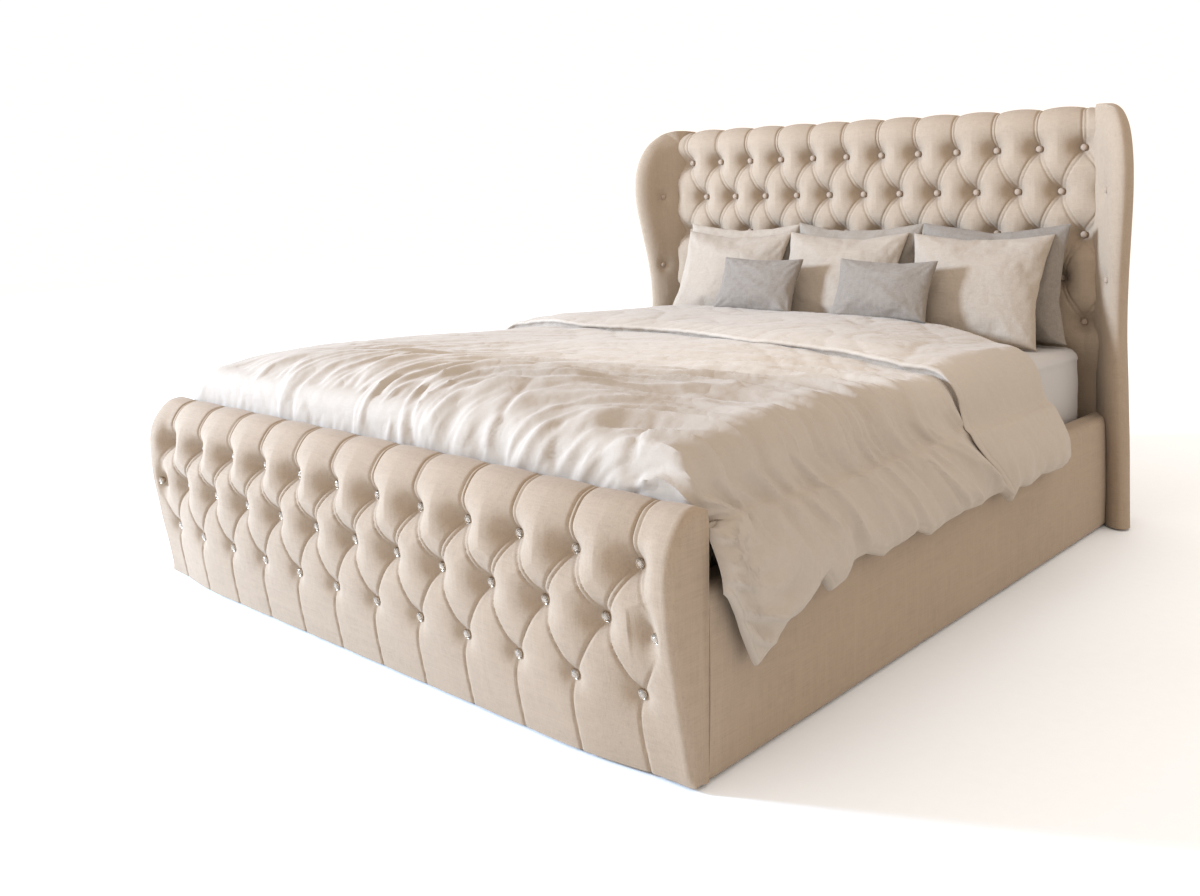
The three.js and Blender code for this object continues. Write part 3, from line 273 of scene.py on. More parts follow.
def fabric(name, colour, spread=0.10, thread=420.0, slub=70.0, bump=0.5, sheen=0.08, tone=0.05, crumple=0.0):
    """Plain weave: crossed threads, thick slubs, a slow drift of tone and, if asked, fine creases."""
    material, tree, shader = new_material(name)
    threads = slubs = None
    for axis in range(3):
        drawn = np.array([1.0 if k != axis else 0.035 for k in range(3)])
        one = object_noise(tree, thread * drawn, 1.0)
        drawn[axis] = 0.06
        two = object_noise(tree, slub * drawn)
        threads = one if threads is None else combine(tree, "ADD", threads, one)
        slubs = two if slubs is None else combine(tree, "MAXIMUM", slubs, two)
    threads = combine(tree, "MULTIPLY", threads, 1 / 3)
    drift = object_noise(tree, (2.3, 2.3, 2.3), 3.0)
    weave = combine(tree, "MULTIPLY", threads, 1.5)
    mixed = combine(tree, "ADD", weave, combine(tree, "MULTIPLY", slubs, 0.75))
    mixed = combine(tree, "ADD", mixed, combine(tree, "MULTIPLY", drift, tone * 8))
    # What threads, slubs and drift add up to on average.
    middle = 0.75 + 0.75 * 0.58 + tone * 4
    contrast = combine(tree, "MULTIPLY", combine(tree, "SUBTRACT", mixed, middle), 1.3)
    base = np.array(linear(colour))
    light = np.minimum(base * (1 + spread), 0.98)
    shades = [(0.0, base * (1 - spread * 1.6)), (0.5, base), (1.0, light)]
    shade = ramp(tree, combine(tree, "ADD", contrast, 0.5, True), shades)
    tree.links.new(shade, shader.inputs["Base Color"])
    set_sockets(shader, {
        "Roughness": 0.9, "Specular IOR Level": 0.25, "Sheen Weight": sheen, "Sheen Roughness": 0.5,
    })
    height = combine(tree, "ADD", threads, combine(tree, "MULTIPLY", slubs, 0.8))
    relief = add_bump(tree, height, bump, 0.0012)
    if crumple:
        lines = combine(tree, "SUBTRACT", object_noise(tree, (13, 13, 13), 2.5), 0.5)
        creases = add_bump(tree, combine(tree, "ABSOLUTE", lines, 0.0), 1.0, crumple)
        tree.links.new(creases.outputs["Normal"], relief.inputs["Normal"])
    tree.links.new(relief.outputs["Normal"], shader.inputs["Normal"])
    return material


def plain(name, colour, roughness, metallic, speckle, spread, bump, stretch=(1, 1, 1), coat=0.0):
    """Hard surface with a fine grain in colour and relief."""
    material, tree, shader = new_material(name)
    grain = object_noise(tree, [speckle * s for s in stretch], 3.0)
    base = np.array(linear(colour))
    light = np.minimum(base * (1 + spread), 1.0)
    shade = ramp(tree, grain, [(0.25, base * (1 - spread)), (0.75, light)])
    tree.links.new(shade, shader.inputs["Base Color"])
    set_sockets(shader, {"Metallic": metallic, "Roughness": roughness, "Coat Weight": coat})
    relief = add_bump(tree, grain, bump, 0.0004)
    tree.links.new(relief.outputs["Normal"], shader.inputs["Normal"])
    return material


def crystal_material():
    material, tree, shader = new_material("cut_crystal")
    # The glass is tinted a dim beige: painted shade for the shade the buttons sit in, and a painted
    # reflection of the beige pad around them.
    clouds = object_noise(tree, (60, 60, 60), 1.0)
    shade = ramp(tree, clouds, [(0.3, (0.72, 0.67, 0.6)), (0.7, (0.92, 0.87, 0.8))])
    tree.links.new(shade, shader.inputs["Base Color"])
    set_sockets(shader, {"Roughness": 0.03, "IOR": 1.6, "Transmission Weight": 0.85})
    return material


linen = fabric("bed_linen_weave", "988672")
# Button cloth: the same linen made a little lighter as painted light, so that the buttons show against the
# shade of their pits.
button_linen = fabric("button_linen", "9b8876", 0.12, 700, 160, 0.6)
panel_linen = fabric("back_lining", "80705e", 0.12, 520)
duvet_cloth = fabric("duvet_cotton", "a89c8e", 0.04, 900, 240, 0.25, 0.1, 0.02, 0.007)
sheet_cloth = fabric("sheet_cotton", "b1aca7", 0.03, 1200, 400, 0.15, 0.05, 0.01, 0.003)
cream_cloth = fabric("cream_pillow_linen", "9a8c7c", 0.09, 600, 110, 0.5, crumple=0.008)
# Back middle pillow: cream cloth darkened with painted shade, for the shadow that lies across that pillow.
shaded_cream_cloth = fabric("cream_pillow_painted_shade", "857a6d", 0.12, 600, 110, 0.5, crumple=0.008)
grey_cloth = fabric("grey_pillow_linen", "7b7166", 0.14, 520, 90, 0.6, crumple=0.006)
webbing = fabric("lift_webbing", "4a4541", 0.2, 900, 500, 0.8)
crystal = crystal_material()
button_metal = plain("button_rim", "b8ab9b", 0.26, 1.0, 500, 0.05, 0.05)
chrome = plain("polished_rod", "d8dade", 0.12, 1.0, 300, 0.03, 0.02)
steel = plain("powder_coated_steel", "2c2e31", 0.5, 0.0, 1400, 0.15, 0.35)
cylinder = plain("gas_cylinder_paint", "1b1c1e", 0.3, 0.0, 900, 0.1, 0.12, (1, 1, 1), 0.3)
timber = plain("planed_softwood", "c79f70", 0.6, 0.0, 60, 0.16, 0.3, (0.6, 6, 6))
slat_wood = plain("laminated_birch", "d3b083", 0.45, 0.0, 50, 0.12, 0.2, (0.5, 7, 7), 0.1)
board = plain("grey_lined_board", "8d8a86", 0.85, 0.0, 500, 0.1, 0.4)
plastic = plain("moulded_glide", "1d1e20", 0.5, 0.0, 1200, 0.1, 0.2)


# Tufting: how full the pad is between its buttons, 0 at a button and 1 on a crest.
def funnel(away, width):
    """Rises from 0 on a button to 1 away from it."""
    clear = np.clip(away - 8 * MM, 0, None)
    return 1 - 1 / (1 + (clear / width) ** 2) ** 1.5


def tuft_puff(across, rows, above, below, top_power, low_power):
    """Diamonds within the rows of buttons, upright rolls above and below them."""
    first = np.abs(np.sin(math.pi * (across + 0.5 + rows / 2)))
    second = np.abs(np.sin(math.pi * (across + 0.5 - rows / 2)))
    upright = np.abs(np.sin(math.pi * (across + 0.5)))
    puff = (first * second) ** 0.42
    puff = puff * (1 - above) + upright**top_power * above
    return puff * (1 - below) + upright**low_power * below


def line_gap(across, rows):
    """Distance in pitches to the nearest diagonal pleat."""
    return np.minimum(off_whole(across + 0.5 + rows / 2), off_whole(across + 0.5 - rows / 2))


def button_distance(x, z, centres, last_column=math.inf):
    """Distance to the nearest button; each second row is shifted by half a pitch."""
    nearest = np.full(np.shape(x), 1.0)
    for row, centre in enumerate(centres):
        shift = 0.5 if row % 2 == 0 else 0.0
        column = np.round(x / PITCH - shift) + shift
        column = np.clip(np.abs(column), 0, last_column) * np.sign(column)
        nearest = np.minimum(nearest, np.hypot(x - column * PITCH, z - centre))
    return nearest


def pleat_lines(gap, away, double):
    """Sewn pleat: two fine grooves with a flat fold between, or one groove, fading at a button."""
    clear = 1 - bell(away, 15 * MM)
    two = bell(gap - 4.5 * MM, 2.0 * MM)
    one = bell(gap, 2.6 * MM)
    lift = bell(gap, 2.8 * MM)
    return (double * (3.2 * two - 1.8 * lift) + (1 - double) * 2.8 * one) * MM * clear


def head_loft(x, z):
    """Height of the pad's face: rolls between the pleats, with a deep pit at each button."""
    across = x / PITCH
    rows = (z - LOW_ROW) / ROW_PITCH
    last = HEAD_ROWS - 1
    above = smoothstep(rows, last, last + 0.6)
    below = smoothstep(-rows, 0, 1)
    puff = tuft_puff(across, np.clip(rows, 0, last), above, below, 0.5, 0.6)
    away = button_distance(x, z, HEAD_CENTRES)
    fade = smoothstep(z, 0.40, 0.56)
    sink = 11 * MM * (1 - puff) + 40 * MM * (1 - funnel(away, 28 * MM))
    straight = off_whole(across + 0.5) * PITCH
    diagonal = line_gap(across, rows) * PITCH * 0.72
    gap = np.where((rows > last) | (rows < 0), straight, diagonal)
    return HEAD_PUFF * fade - sink * fade - pleat_lines(gap, away, 1.0) * smoothstep(rows, -0.4, 0.1)


# Wings: their splay, their measures and the outline, as height and reach in shares.
WING_ANGLE = math.radians(30)
WING_THICK = 60 * MM
WING_REACH = 199 * MM
WING_SIDE = HEAD_HALF + 0.4 * MM
WING_BUTTON = 92 * MM
WING_CENTRES = (HEAD_CENTRES[1], HEAD_CENTRES[3])
WING_SHARES = [
    (0.005, 0.785), (0.1, 0.775), (0.202, 0.764), (0.34, 0.702), (0.453, 0.639), (0.567, 0.702),
    (0.688, 0.869), (0.757, 0.965), (0.812, 1.0), (0.862, 0.985), (0.91, 0.90), (0.947, 0.765),
    (0.972, 0.60), (0.989, 0.43), (0.998, 0.26), (1.0, 0.11), (1.0, 0.0),
]


def build_headboard():
    turn = 30 * MM
    fine_from = 0.454
    rear = HEAD_BACK - 1.0 * MM
    flat_z = HEAD_TOP - HEAD_PUFF * 0.94
    low = np.linspace(FLOOR_GAP, 0.45, 24)
    high = np.arange(fine_from, flat_z - turn, 3 * MM)
    angle = np.linspace(0, math.pi / 2, 14)
    back_run = np.linspace(BUTTON_PLANE + turn, rear, 12)[1:]
    y = np.concatenate([
        np.full(len(low) + len(high), BUTTON_PLANE), BUTTON_PLANE + turn * (1 - np.cos(angle)), back_run,
    ])
    z = np.concatenate([low, high, flat_z - turn + turn * np.sin(angle), np.full(len(back_run), flat_z)])
    run = np.concatenate([[0], np.cumsum(np.hypot(np.diff(y), np.diff(z)))])
    along = run - run[len(low)] + fine_from
    tangent_y, tangent_z = np.gradient(y), np.gradient(z)
    length = np.hypot(tangent_y, tangent_z)
    normal_y, normal_z = -tangent_z / length, tangent_y / length
    tail = 1 - 0.35 * smoothstep(y, HEAD_BACK - 20 * MM, HEAD_BACK)
    rings = []
    for x in np.linspace(-HEAD_HALF, HEAD_HALF, 660):
        full = head_loft(np.full(len(y), x), along) * tail
        row_y = np.clip(y + normal_y * full, pad_low.y, HEAD_REAR)
        row_z = z + normal_z * full
        spread = smoothstep(abs(x), HEAD_HALF - 70 * MM, HEAD_HALF) * math.tan(WING_ANGLE)
        drop = 7 * MM * smoothstep(abs(x), HEAD_HALF - 30 * MM, HEAD_HALF)
        row_z = row_z - drop * smoothstep(z, 1.15, 1.19)
        row_x = x + math.copysign(1, x) * spread * np.clip(BUTTON_PLANE - row_y, 0, None)
        rings.append(np.vstack([spots(row_x, row_y, row_z), [[x, rear, FLOOR_GAP]]]))
    points, faces = loft(rings)
    make("headboard_cover", points, faces, linen, "base", "headboard_pad", ["headboard_pad"], 0.8)


def covered_button(radius, rise=8 * MM):
    profile = [
        (0, -6 * MM), (radius * 0.9, -6 * MM), (radius, -1 * MM), (radius * 0.97, rise * 0.35),
        (radius * 0.8, rise * 0.72), (radius * 0.5, rise * 0.93), (0, rise),
    ]
    return revolve(profile, 28)


def make_buttons(name, node, places, axis, radius=10.5 * MM):
    form, faces = covered_button(radius)
    points, faces = join([(turned(form, axis, place), faces) for place in places])
    make(name, points, faces, button_linen, "base", node)


def build_head_buttons():
    places = []
    for row, centre in enumerate(HEAD_CENTRES):
        count = 12 - row % 2
        places += [((n - (count - 1) / 2) * PITCH, BUTTON_PLANE - 1 * MM, centre) for n in range(count)]
    make_buttons("headboard_buttons", "headboard_pad", places, (0, -1, 0))


build_headboard()
build_head_buttons()


# Each wing is an upholstered slab, splayed outwards, with a fully rounded free edge.
def wing_spot(side, along, out, z):
    """A place on a wing from its distance along the splay, out of it and up."""
    sin, cos = math.sin(WING_ANGLE), math.cos(WING_ANGLE)
    x = WING_SIDE + sin * along + cos * out
    return spots(side * x, BUTTON_PLANE - cos * along + sin * out, z)


def wing_relief(along, z):
    """Fullness towards the pad and the dimples round the two wing buttons."""
    puff = 12 * MM * (1 - smoothstep(along, 10 * MM, 115 * MM)) * smoothstep(z, 0.5, 0.62)
    for centre in WING_CENTRES:
        distance = np.hypot(along - WING_BUTTON, (z - centre) * 0.85)
        puff = puff - 10 * MM * bell(distance, 23 * MM) - 2 * MM * bell(distance, 10 * MM)
    return puff


def edge_distance(along, z, outline):
    """Distance from places on the wing to its free edge."""
    closest = np.full(along.shape, 1.0)
    for a, b in zip(outline[:-1], outline[1:]):
        run = b - a
        share = np.clip(((along - a[0]) * run[0] + (z - a[1]) * run[1]) / (run @ run + 1e-12), 0, 1)
        closest = np.minimum(closest, np.hypot(along - a[0] - share * run[0], z - a[1] - share * run[1]))
    return closest


def wing_inner(along, z, closest):
    """Depth of the inner face: square where it meets the pad, slowly rounded towards the free edge."""
    half = WING_THICK / 2
    soft = half * (1 - (1 - np.clip(closest / (62 * MM), 0, 1)) ** 2.2) ** 0.6
    flush = half * (1 - smoothstep(along, 30 * MM, 110 * MM))
    return half - np.maximum(soft, flush) - wing_relief(along, z) * np.clip(closest / (50 * MM), 0, 1)


def build_wing(side, label):
    outline = curve([(share * WING_REACH, height * HEAD_TOP) for height, share in WING_SHARES], 300)
    edge_radius = WING_THICK / 2
    top = outline[:, 1].max()
    heights = np.concatenate([
        np.linspace(outline[0, 1], 0.42, 30, endpoint=False),
        np.arange(0.42, top - 0.07, 4 * MM), top - 0.07 * (1 - np.linspace(0, 1, 46)) ** 2,
    ])
    order = np.argsort(outline[:, 1])
    reach_at = np.interp(heights, outline[order, 1], outline[order, 0])
    spread = 1 - (1 - np.linspace(0, 1, 60)) ** 1.8
    along = reach_at[:, None] * spread[None, :]
    z = np.repeat(heights[:, None], along.shape[1], axis=1)
    closest = edge_distance(along, z, outline)
    depth = np.clip(closest / edge_radius, 0, 1)
    swell = edge_radius * np.sqrt(np.clip(1 - (1 - depth) ** 2, 0, 1))
    bulge = 2.5 * MM * np.sin(math.pi * np.clip(along / WING_REACH, 0, 1))
    front = wing_spot(side, along, wing_inner(along, z, closest), z)
    back = wing_spot(side, along, edge_radius + swell + bulge * depth, z)
    rings = []
    for k, height in enumerate(heights):
        corner = spots(side * np.array([WING_SIDE + 34 * MM, WING_SIDE]), HEAD_REAR, height)
        mid = back[k, :1] * 0.5 + corner[:1] * 0.5
        mid[0, 0] += side * 4 * MM
        rings.append(np.vstack([front[k], back[k, ::-1][1:], mid, corner]))
    points, faces = loft(rings)
    node = f"wing_{label}"
    make(f"wing_cover_{label}", points, faces, linen, "base", node, [node], 0.9)
    places = []
    for centre in WING_CENTRES:
        spot = np.array([WING_BUTTON]), np.array([centre])
        sink = wing_inner(*spot, edge_distance(*spot, outline)) - 1.5 * MM
        places.append(wing_spot(side, spot[0], sink, spot[1])[0])
    axis = (-side * math.cos(WING_ANGLE), -math.sin(WING_ANGLE), 0)
    make_buttons(f"wing_buttons_{label}", node, places, axis, 10 * MM)


for wing_side, wing_label in ((-1, "left"), (1, "right")):
    build_wing(wing_side, wing_label)


# Footboard: one cover over the scroll, its flat ends and the back.
FOOT_ROWS = (0.135, 0.244, 0.349)
LAST_COLUMN = 5.86
# Shares: reach in the middle, height, reach at the ends and place among the rows of buttons.
FOOT_SHARES = [
    (0.293, 0.0142, 0.0, 0), (0.467, 0.156, 0.187, 0.4), (0.653, 0.305, 0.413, 1),
    (0.78, 0.427, 0.58, 1.5), (0.893, 0.551, 0.747, 2), (0.967, 0.67, 0.853, 2.5),
    (1.0, 0.788, 0.893, 3), (0.893, 0.869, 0.8, 3.3), (0.667, 0.928, 0.593, 3.6),
    (0.293, 0.984, 0.253, 3.9), (-0.16, 1.0, -0.16, 4.2), (-0.42, 0.985, -0.42, 4.4),
]
FOOT_INNER = FOOT_HALF - END_THICK
FOOT_LINE = FOOT_BACK - 34 * MM
FOOT_EDGE = 19 * MM
FOOT_REAR = FOOT_BACK - 0.2 * MM
FOOT_FLARE = 230 * MM


def foot_profile(x, count):
    """The scroll's reach, height and place; it flattens towards the ends."""
    to_end = smoothstep(abs(x), FOOT_INNER - FOOT_FLARE, FOOT_INNER)
    rows = [
        (FOOT_BULGE * (middle + (end - middle) * to_end), FOOT_TOP * height, place)
        for middle, height, end, place in FOOT_SHARES
    ]
    return curve(rows, count).T


def foot_sink(x, place, height):
    """How far the cloth is drawn in below the full scroll, in metres."""
    stops = (0, 1, 2, 3, 3.6, 4.4)
    groove = np.interp(place, stops, (1.5 * MM, 4 * MM, 7 * MM, 9 * MM, 8 * MM, 6 * MM))
    pit = np.interp(place, stops, (0, 11 * MM, 24 * MM, 34 * MM, 32 * MM, 20 * MM))
    wide = np.interp(place, stops, (15 * MM, 17 * MM, 25 * MM, 33 * MM, 33 * MM, 24 * MM))
    rows = np.clip(place - 1, 0, 2)
    above = smoothstep(place, 3, 3.5)
    below = smoothstep(1 - place, 0, 0.8)
    puff = tuft_puff(x / PITCH, rows, above, below, 0.42, 0.4)
    away = button_distance(x, height, FOOT_ROWS, LAST_COLUMN)
    sink = groove * (1 - puff) + pit * (1 - funnel(away, wide))
    inwards = FOOT_INNER - np.abs(x)
    bend = 6 * MM * np.sin(math.pi * np.clip(1 - place, 0, 1)) * np.where(place < 1, 1, 0)
    straight = off_whole((x + bend) / PITCH + 0.5) * PITCH
    diagonal = line_gap(x / PITCH, rows) * PITCH * 0.8
    gap = np.where((place > 3) | (place < 1), straight, diagonal)
    pleats = pleat_lines(gap, away, smoothstep(place, 1.9, 2.3))
    return sink * smoothstep(inwards, 4 * MM, 46 * MM) + pleats * smoothstep(inwards, 16 * MM, 60 * MM)


def foot_section(x, count):
    """Closed outline of the cover at x, from the floor over the scroll and down the back."""
    out, height, place = foot_profile(x, count)
    run_out, run_up = np.gradient(out), np.gradient(height)
    length = np.hypot(run_out, run_up)
    sink = foot_sink(np.full(count, x), place, height)
    sink = sink * (1 - 0.4 * smoothstep(place, 4.0, 4.4))
    swell = 2.5 * MM * noise(x * 5, place * 1.3, 41)
    y = FOOT_LINE - out + run_up / length * (sink + 0.3 * swell * smoothstep(place, 0.2, 1))
    z = np.maximum(height + run_out / length * sink, FLOOR_GAP)
    back = np.array([
        [FOOT_BACK - 3 * MM, 0.428], [FOOT_REAR, 0.415], [FOOT_REAR, 0.3], [FOOT_REAR, 0.15],
        [FOOT_REAR, FLOOR_GAP],
    ])
    floor = np.stack([np.linspace(FOOT_REAR, y[0], 12)[1:-1], np.full(10, FLOOR_GAP)], axis=1)
    return np.vstack([np.stack([y, z], axis=1), back, floor])


def foot_rounding(x, count):
    """Section at the outer side, drawn in round the front and top edge but not at the back."""
    section = foot_section(FOOT_INNER, count)
    turn = np.clip((abs(x) - (FOOT_HALF - FOOT_EDGE)) / FOOT_EDGE, 0, 1)
    inset = FOOT_EDGE * (1 - math.sqrt(1 - turn**2))
    tangent = np.roll(section, -1, axis=0) - np.roll(section, 1, axis=0)
    tangent /= np.linalg.norm(tangent, axis=1)[:, None] + 1e-9
    normal = np.stack([-tangent[:, 1], tangent[:, 0]], axis=1)
    front = smoothstep(FOOT_BACK - section[:, 0], 2 * MM, 26 * MM)
    low = 0.25 + 0.75 * smoothstep(section[:, 1], FLOOR_GAP, 30 * MM)
    moved = section - normal * (inset * front * low)[:, None]
    moved[:, 1] = np.maximum(moved[:, 1], FLOOR_GAP)
    moved[:, 0] = np.minimum(moved[:, 0], FOOT_REAR)
    return moved


def build_footboard():
    count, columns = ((190, 620))
    flat = np.linspace(FOOT_INNER, FOOT_HALF - FOOT_EDGE, 3)[1:]
    rounded = FOOT_HALF - FOOT_EDGE + FOOT_EDGE * np.sin(np.linspace(0, math.pi / 2, 11))[1:]
    ends = np.concatenate([flat, rounded])
    rings = [(-x, foot_rounding(x, count)) for x in ends[::-1]]
    rings += [(x, foot_section(x, count)) for x in np.linspace(-FOOT_INNER, FOOT_INNER, columns)]
    rings += [(x, foot_rounding(x, count)) for x in ends]
    skin = [spots(x, *ring.T) for x, ring in rings]
    points, faces = loft(skin, fans=False)
    nodes = ["footboard_pad", "footboard_end_left", "footboard_end_right"]
    make("footboard_cover", points, faces, linen, "base", "footboard_pad", nodes, 0.8)


def crystal_button(radius=8.6 * MM, sides=10):
    """Faceted top over a turned metal rim: two separate forms."""
    rings = []
    for share, height, turn in ((0.72, 0.0, 0), (0.92, 1.0, 0.5), (0.66, 3.6, 0), (0.34, 5.0, 0.5)):
        angle = (np.arange(sides) + turn) * 2 * math.pi / sides
        reach = radius * share
        rings.append(spots(reach * np.cos(angle), reach * np.sin(angle), height * MM))
    rim = revolve([
        (0, -9 * MM), (radius * 0.9, -9 * MM), (radius * 1.04, -1 * MM), (radius * 1.06, 0.8 * MM),
        (radius * 0.98, 1.9 * MM), (radius * 0.86, 1.4 * MM), (radius * 0.8, 0.2 * MM), (0, 0.0),
    ])
    return loft(rings), rim


def build_foot_buttons():
    gem, rim = crystal_button()
    gems, rims = [], []
    for row, centre in enumerate(FOOT_ROWS):
        count = 12 + row % 2
        for n in range(count):
            x = (n - (count - 1) / 2) * PITCH
            x = math.copysign(min(abs(x), LAST_COLUMN * PITCH), x)
            out, height, place = foot_profile(x, 400)[:, :320]
            nearest = int(np.argmin(np.abs(height - centre)))
            before, here, after = nearest - 1, slice(nearest, nearest + 1), nearest + 1
            run = np.array([out[after] - out[before], height[after] - height[before]])
            run /= np.linalg.norm(run)
            sink = foot_sink(np.array([x]), place[here], height[here])[0]
            spot = (x, FOOT_LINE - out[nearest] + run[1] * (sink - 2 * MM), centre + run[0] * sink)
            axis = (0, -run[1], -run[0])
            gems.append((turned(gem[0], axis, spot), gem[1]))
            rims.append((turned(rim[0], axis, spot), rim[1]))
    stones = make("footboard_crystals", *join(gems), crystal, "base", "footboard_pad")
    stones.data.polygons.foreach_set("use_smooth", [False] * len(stones.data.polygons))
    make("footboard_button_rims", *join(rims), button_metal, "base", "footboard_pad")


build_footboard()
build_foot_buttons()


# Side rails: cloth over a board, softly crowned, mitred where they meet the wing.
def build_rail(side, label):
    low, top = FLOOR_GAP, RAIL_TOP
    crown = 4 * MM
    radius = 20 * MM
    section = [(RAIL_IN, low), (RAIL_OUT - 6 * MM, low), (RAIL_OUT - 1.5 * MM, low + 3 * MM)]
    for share in np.linspace(0.03, 0.93, 24):
        fullness = math.sin(math.pi * min(1, share * 1.05)) ** 0.7
        section.append((RAIL_OUT + crown * fullness, low + (top - low) * share))
    for angle in np.linspace(0, math.pi / 2, 10):
        x = RAIL_OUT - radius + radius * math.cos(angle)
        section.append((x, top - radius + radius * math.sin(angle)))
    for x in np.linspace(RAIL_OUT - radius - 4 * MM, RAIL_IN + 6 * MM, 6):
        section.append((x, top))
    section += [(RAIL_IN + 2 * MM, top - 1.5 * MM), (RAIL_IN, top - 6 * MM)]
    x, z = np.array(section).T
    start = FOOT_BACK + 0.4 * MM
    wing_line = BUTTON_PLANE - (x - WING_SIDE) / math.tan(WING_ANGLE)
    end = np.minimum(BUTTON_PLANE + 4.5 * MM, wing_line - 3 * MM)
    rings = []
    for share in np.linspace(0, 1, 180):
        y = start + (end - start) * share
        ripple = np.where(x > RAIL_OUT - 8 * MM, 0.5 * MM * noise(y * 7, z * 9, 3), 0)
        lip = 1.5 * MM * math.exp(-(share * 2.05 / 0.006)) * (x > RAIL_IN + 20 * MM)
        rings.append(spots(side * (x + ripple - lip), y, z))
    points, faces = loft(rings)
    node = f"side_rail_{label}"
    make(f"rail_cover_{label}", points, faces, linen, "base", node, [node], 1.0)


for rail_side, rail_label in ((-1, "left"), (1, "right")):
    build_rail(rail_side, rail_label)


# Mattress in a fitted sheet.
def build_mattress():
    half_x, low_y, high_y = mattress_high.x, mattress_low.y, mattress_high.y
    low_z, top_z = mattress_low.z, mattress_high.z
    radius = 36 * MM
    corner = 45 * MM
    crown = top_z - 1.5 * MM
    middle_y = (low_y + high_y) / 2
    half_y = (high_y - low_y) / 2
    outline = []
    for cx, cy, start in ((1, -1, -90), (1, 1, 0), (-1, 1, 90), (-1, -1, 180)):
        for angle in np.radians(np.linspace(start, start + 90, 12)):
            outline.append((
                cx * (half_x - corner) + corner * math.cos(angle),
                cy * (half_y - corner) + corner * math.sin(angle),
            ))
    outline = np.array(outline)
    dense = []
    for a, b in zip(outline, np.roll(outline, -1, axis=0)):
        steps = max(1, int(np.linalg.norm(b - a) / (12 * MM)))
        dense += [a + (b - a) * k / steps for k in range(steps)]
    outline = np.array(dense)
    unit = np.roll(outline, -1, axis=0) - np.roll(outline, 1, axis=0)
    unit /= np.linalg.norm(unit, axis=1)[:, None]
    normal = np.stack([unit[:, 1], -unit[:, 0]], axis=1)
    levels = [(low_z, 16 * MM), (low_z + 4 * MM, 8 * MM), (low_z + 12 * MM, 4 * MM)]
    for share in np.linspace(0.08, 0.85, 14):
        inset = 4 * MM - 3.5 * MM * math.sin(math.pi * share)
        levels.append((low_z + (top_z - low_z) * share, inset))
    for angle in np.linspace(0.15, math.pi / 2, 10):
        levels.append((crown - radius + radius * math.sin(angle), radius * (1 - math.cos(angle))))
    rings = []
    for z, inset in levels:
        wave = 1.2 * MM * noise(outline[:, 0] * 16 + z * 9, outline[:, 1] * 16 + z * 25, 5)
        x, y = (outline - normal * (inset + 2 * MM - wave)[:, None]).T
        rings.append(spots(x, y + middle_y, z))
    x, y = (outline - normal * (radius + 2 * MM)).T
    for share in np.linspace(0.92, 0.1, 10):
        rings.append(spots(x * share, y * share + middle_y, crown + 1.2 * MM * (1 - share)))
    points, faces = loft(rings)
    make("fitted_sheet", points, faces, sheet_cloth, "platform", "mattress", ["mattress"], 0.9)


build_mattress()


# Pillows: flat cases sewn from two layers, blown up as cloth and then shaped.
PILLOW_FILL = 0.8
PINCUSHION = 0.065


def inflate(piece, pressure, frames=26):
    """Where the points of a case come to rest under pressure from within."""
    scene = bpy.context.scene
    modifier = piece.modifiers.new("Cloth", "CLOTH")
    settings = modifier.settings
    settings.quality = 6
    settings.mass = 0.25
    settings.tension_stiffness = settings.compression_stiffness = 12
    settings.shear_stiffness = 4.8
    settings.bending_stiffness = 0.15
    settings.air_damping = 3
    settings.effector_weights.gravity = 0
    settings.shrink_min = -0.02
    settings.use_pressure = True
    settings.uniform_pressure_force = pressure
    modifier.collision_settings.use_collision = False
    modifier.collision_settings.use_self_collision = False
    modifier.point_cache.frame_start = 1
    modifier.point_cache.frame_end = frames
    for number in range(1, frames + 1):
        scene.frame_set(number)
    evaluated = piece.evaluated_get(bpy.context.evaluated_depsgraph_get())
    result = np.zeros(len(evaluated.data.vertices) * 3, np.float32)
    evaluated.data.vertices.foreach_get("co", result)
    piece.modifiers.remove(modifier)
    scene.frame_set(1)
    return result.reshape(-1, 3).astype(float)


def envelope(width, height, columns, rows, seed):
    """Two layers of cloth sewn round the edge, a little apart, as a flat pillow case."""
    a = np.linspace(-1, 1, columns + 1)
    b = np.linspace(-1, 1, rows + 1)
    grid_a, grid_b = np.meshgrid(a, b, indexing="ij")
    inside = (1 - grid_a**2) * (1 - grid_b**2)
    points, index = [], {}
    for layer in (-1, 1):
        for i in range(columns + 1):
            for j in range(rows + 1):
                rim = i in (0, columns) or j in (0, rows)
                if rim and layer == 1:
                    index[layer, i, j] = index[-1, i, j]
                    continue
                index[layer, i, j] = len(points)
                bump = noise(i * 0.35, j * 0.35, seed + layer) * 3 * MM
                offset = 0 if rim else layer * (4 * MM + 10 * MM * inside[i, j] + bump * inside[i, j])
                points.append((a[i] * width / 2, offset, b[j] * height / 2))
    faces = []
    for layer in (-1, 1):
        for i in range(columns):
            for j in range(rows):
                corners = ((i, j), (i + 1, j), (i + 1, j + 1), (i, j + 1))
                quad = [index[layer, m, n] for m, n in corners]
                faces.append(quad if layer == -1 else quad[::-1])
    return np.array(points, float), faces


def pillow_creases(a, b, seed):
    """Small folds that run in from the corners and a few across the face, in metres."""
    depth = 0
    for corner_a in (-0.5, 0.5):
        for corner_b in (-0.5, 0.5):
            run_a, run_b = (a - corner_a) * 1.2, b - corner_b
            away = np.hypot(run_a, run_b)
            turn = np.arctan2(run_b, run_a) * 2.6
            wave = noise(turn, away * 2.5, seed + int(corner_a * 8 + corner_b * 2))
            fold = (1 - np.abs(np.clip(wave, -1, 1))) ** 3
            depth = depth + 6.0 * fold * bell(away - 0.18, 0.13)
    wave = noise(a * 2.6 + b * 2.2, b * 1.6 - a, seed + 40) * 1.2
    broad = (1 - np.abs(np.clip(wave, -1, 1))) ** 2
    return (depth + 5.5 * broad * (1 - 4 * a * a) * (1 - 4 * b * b)) * MM


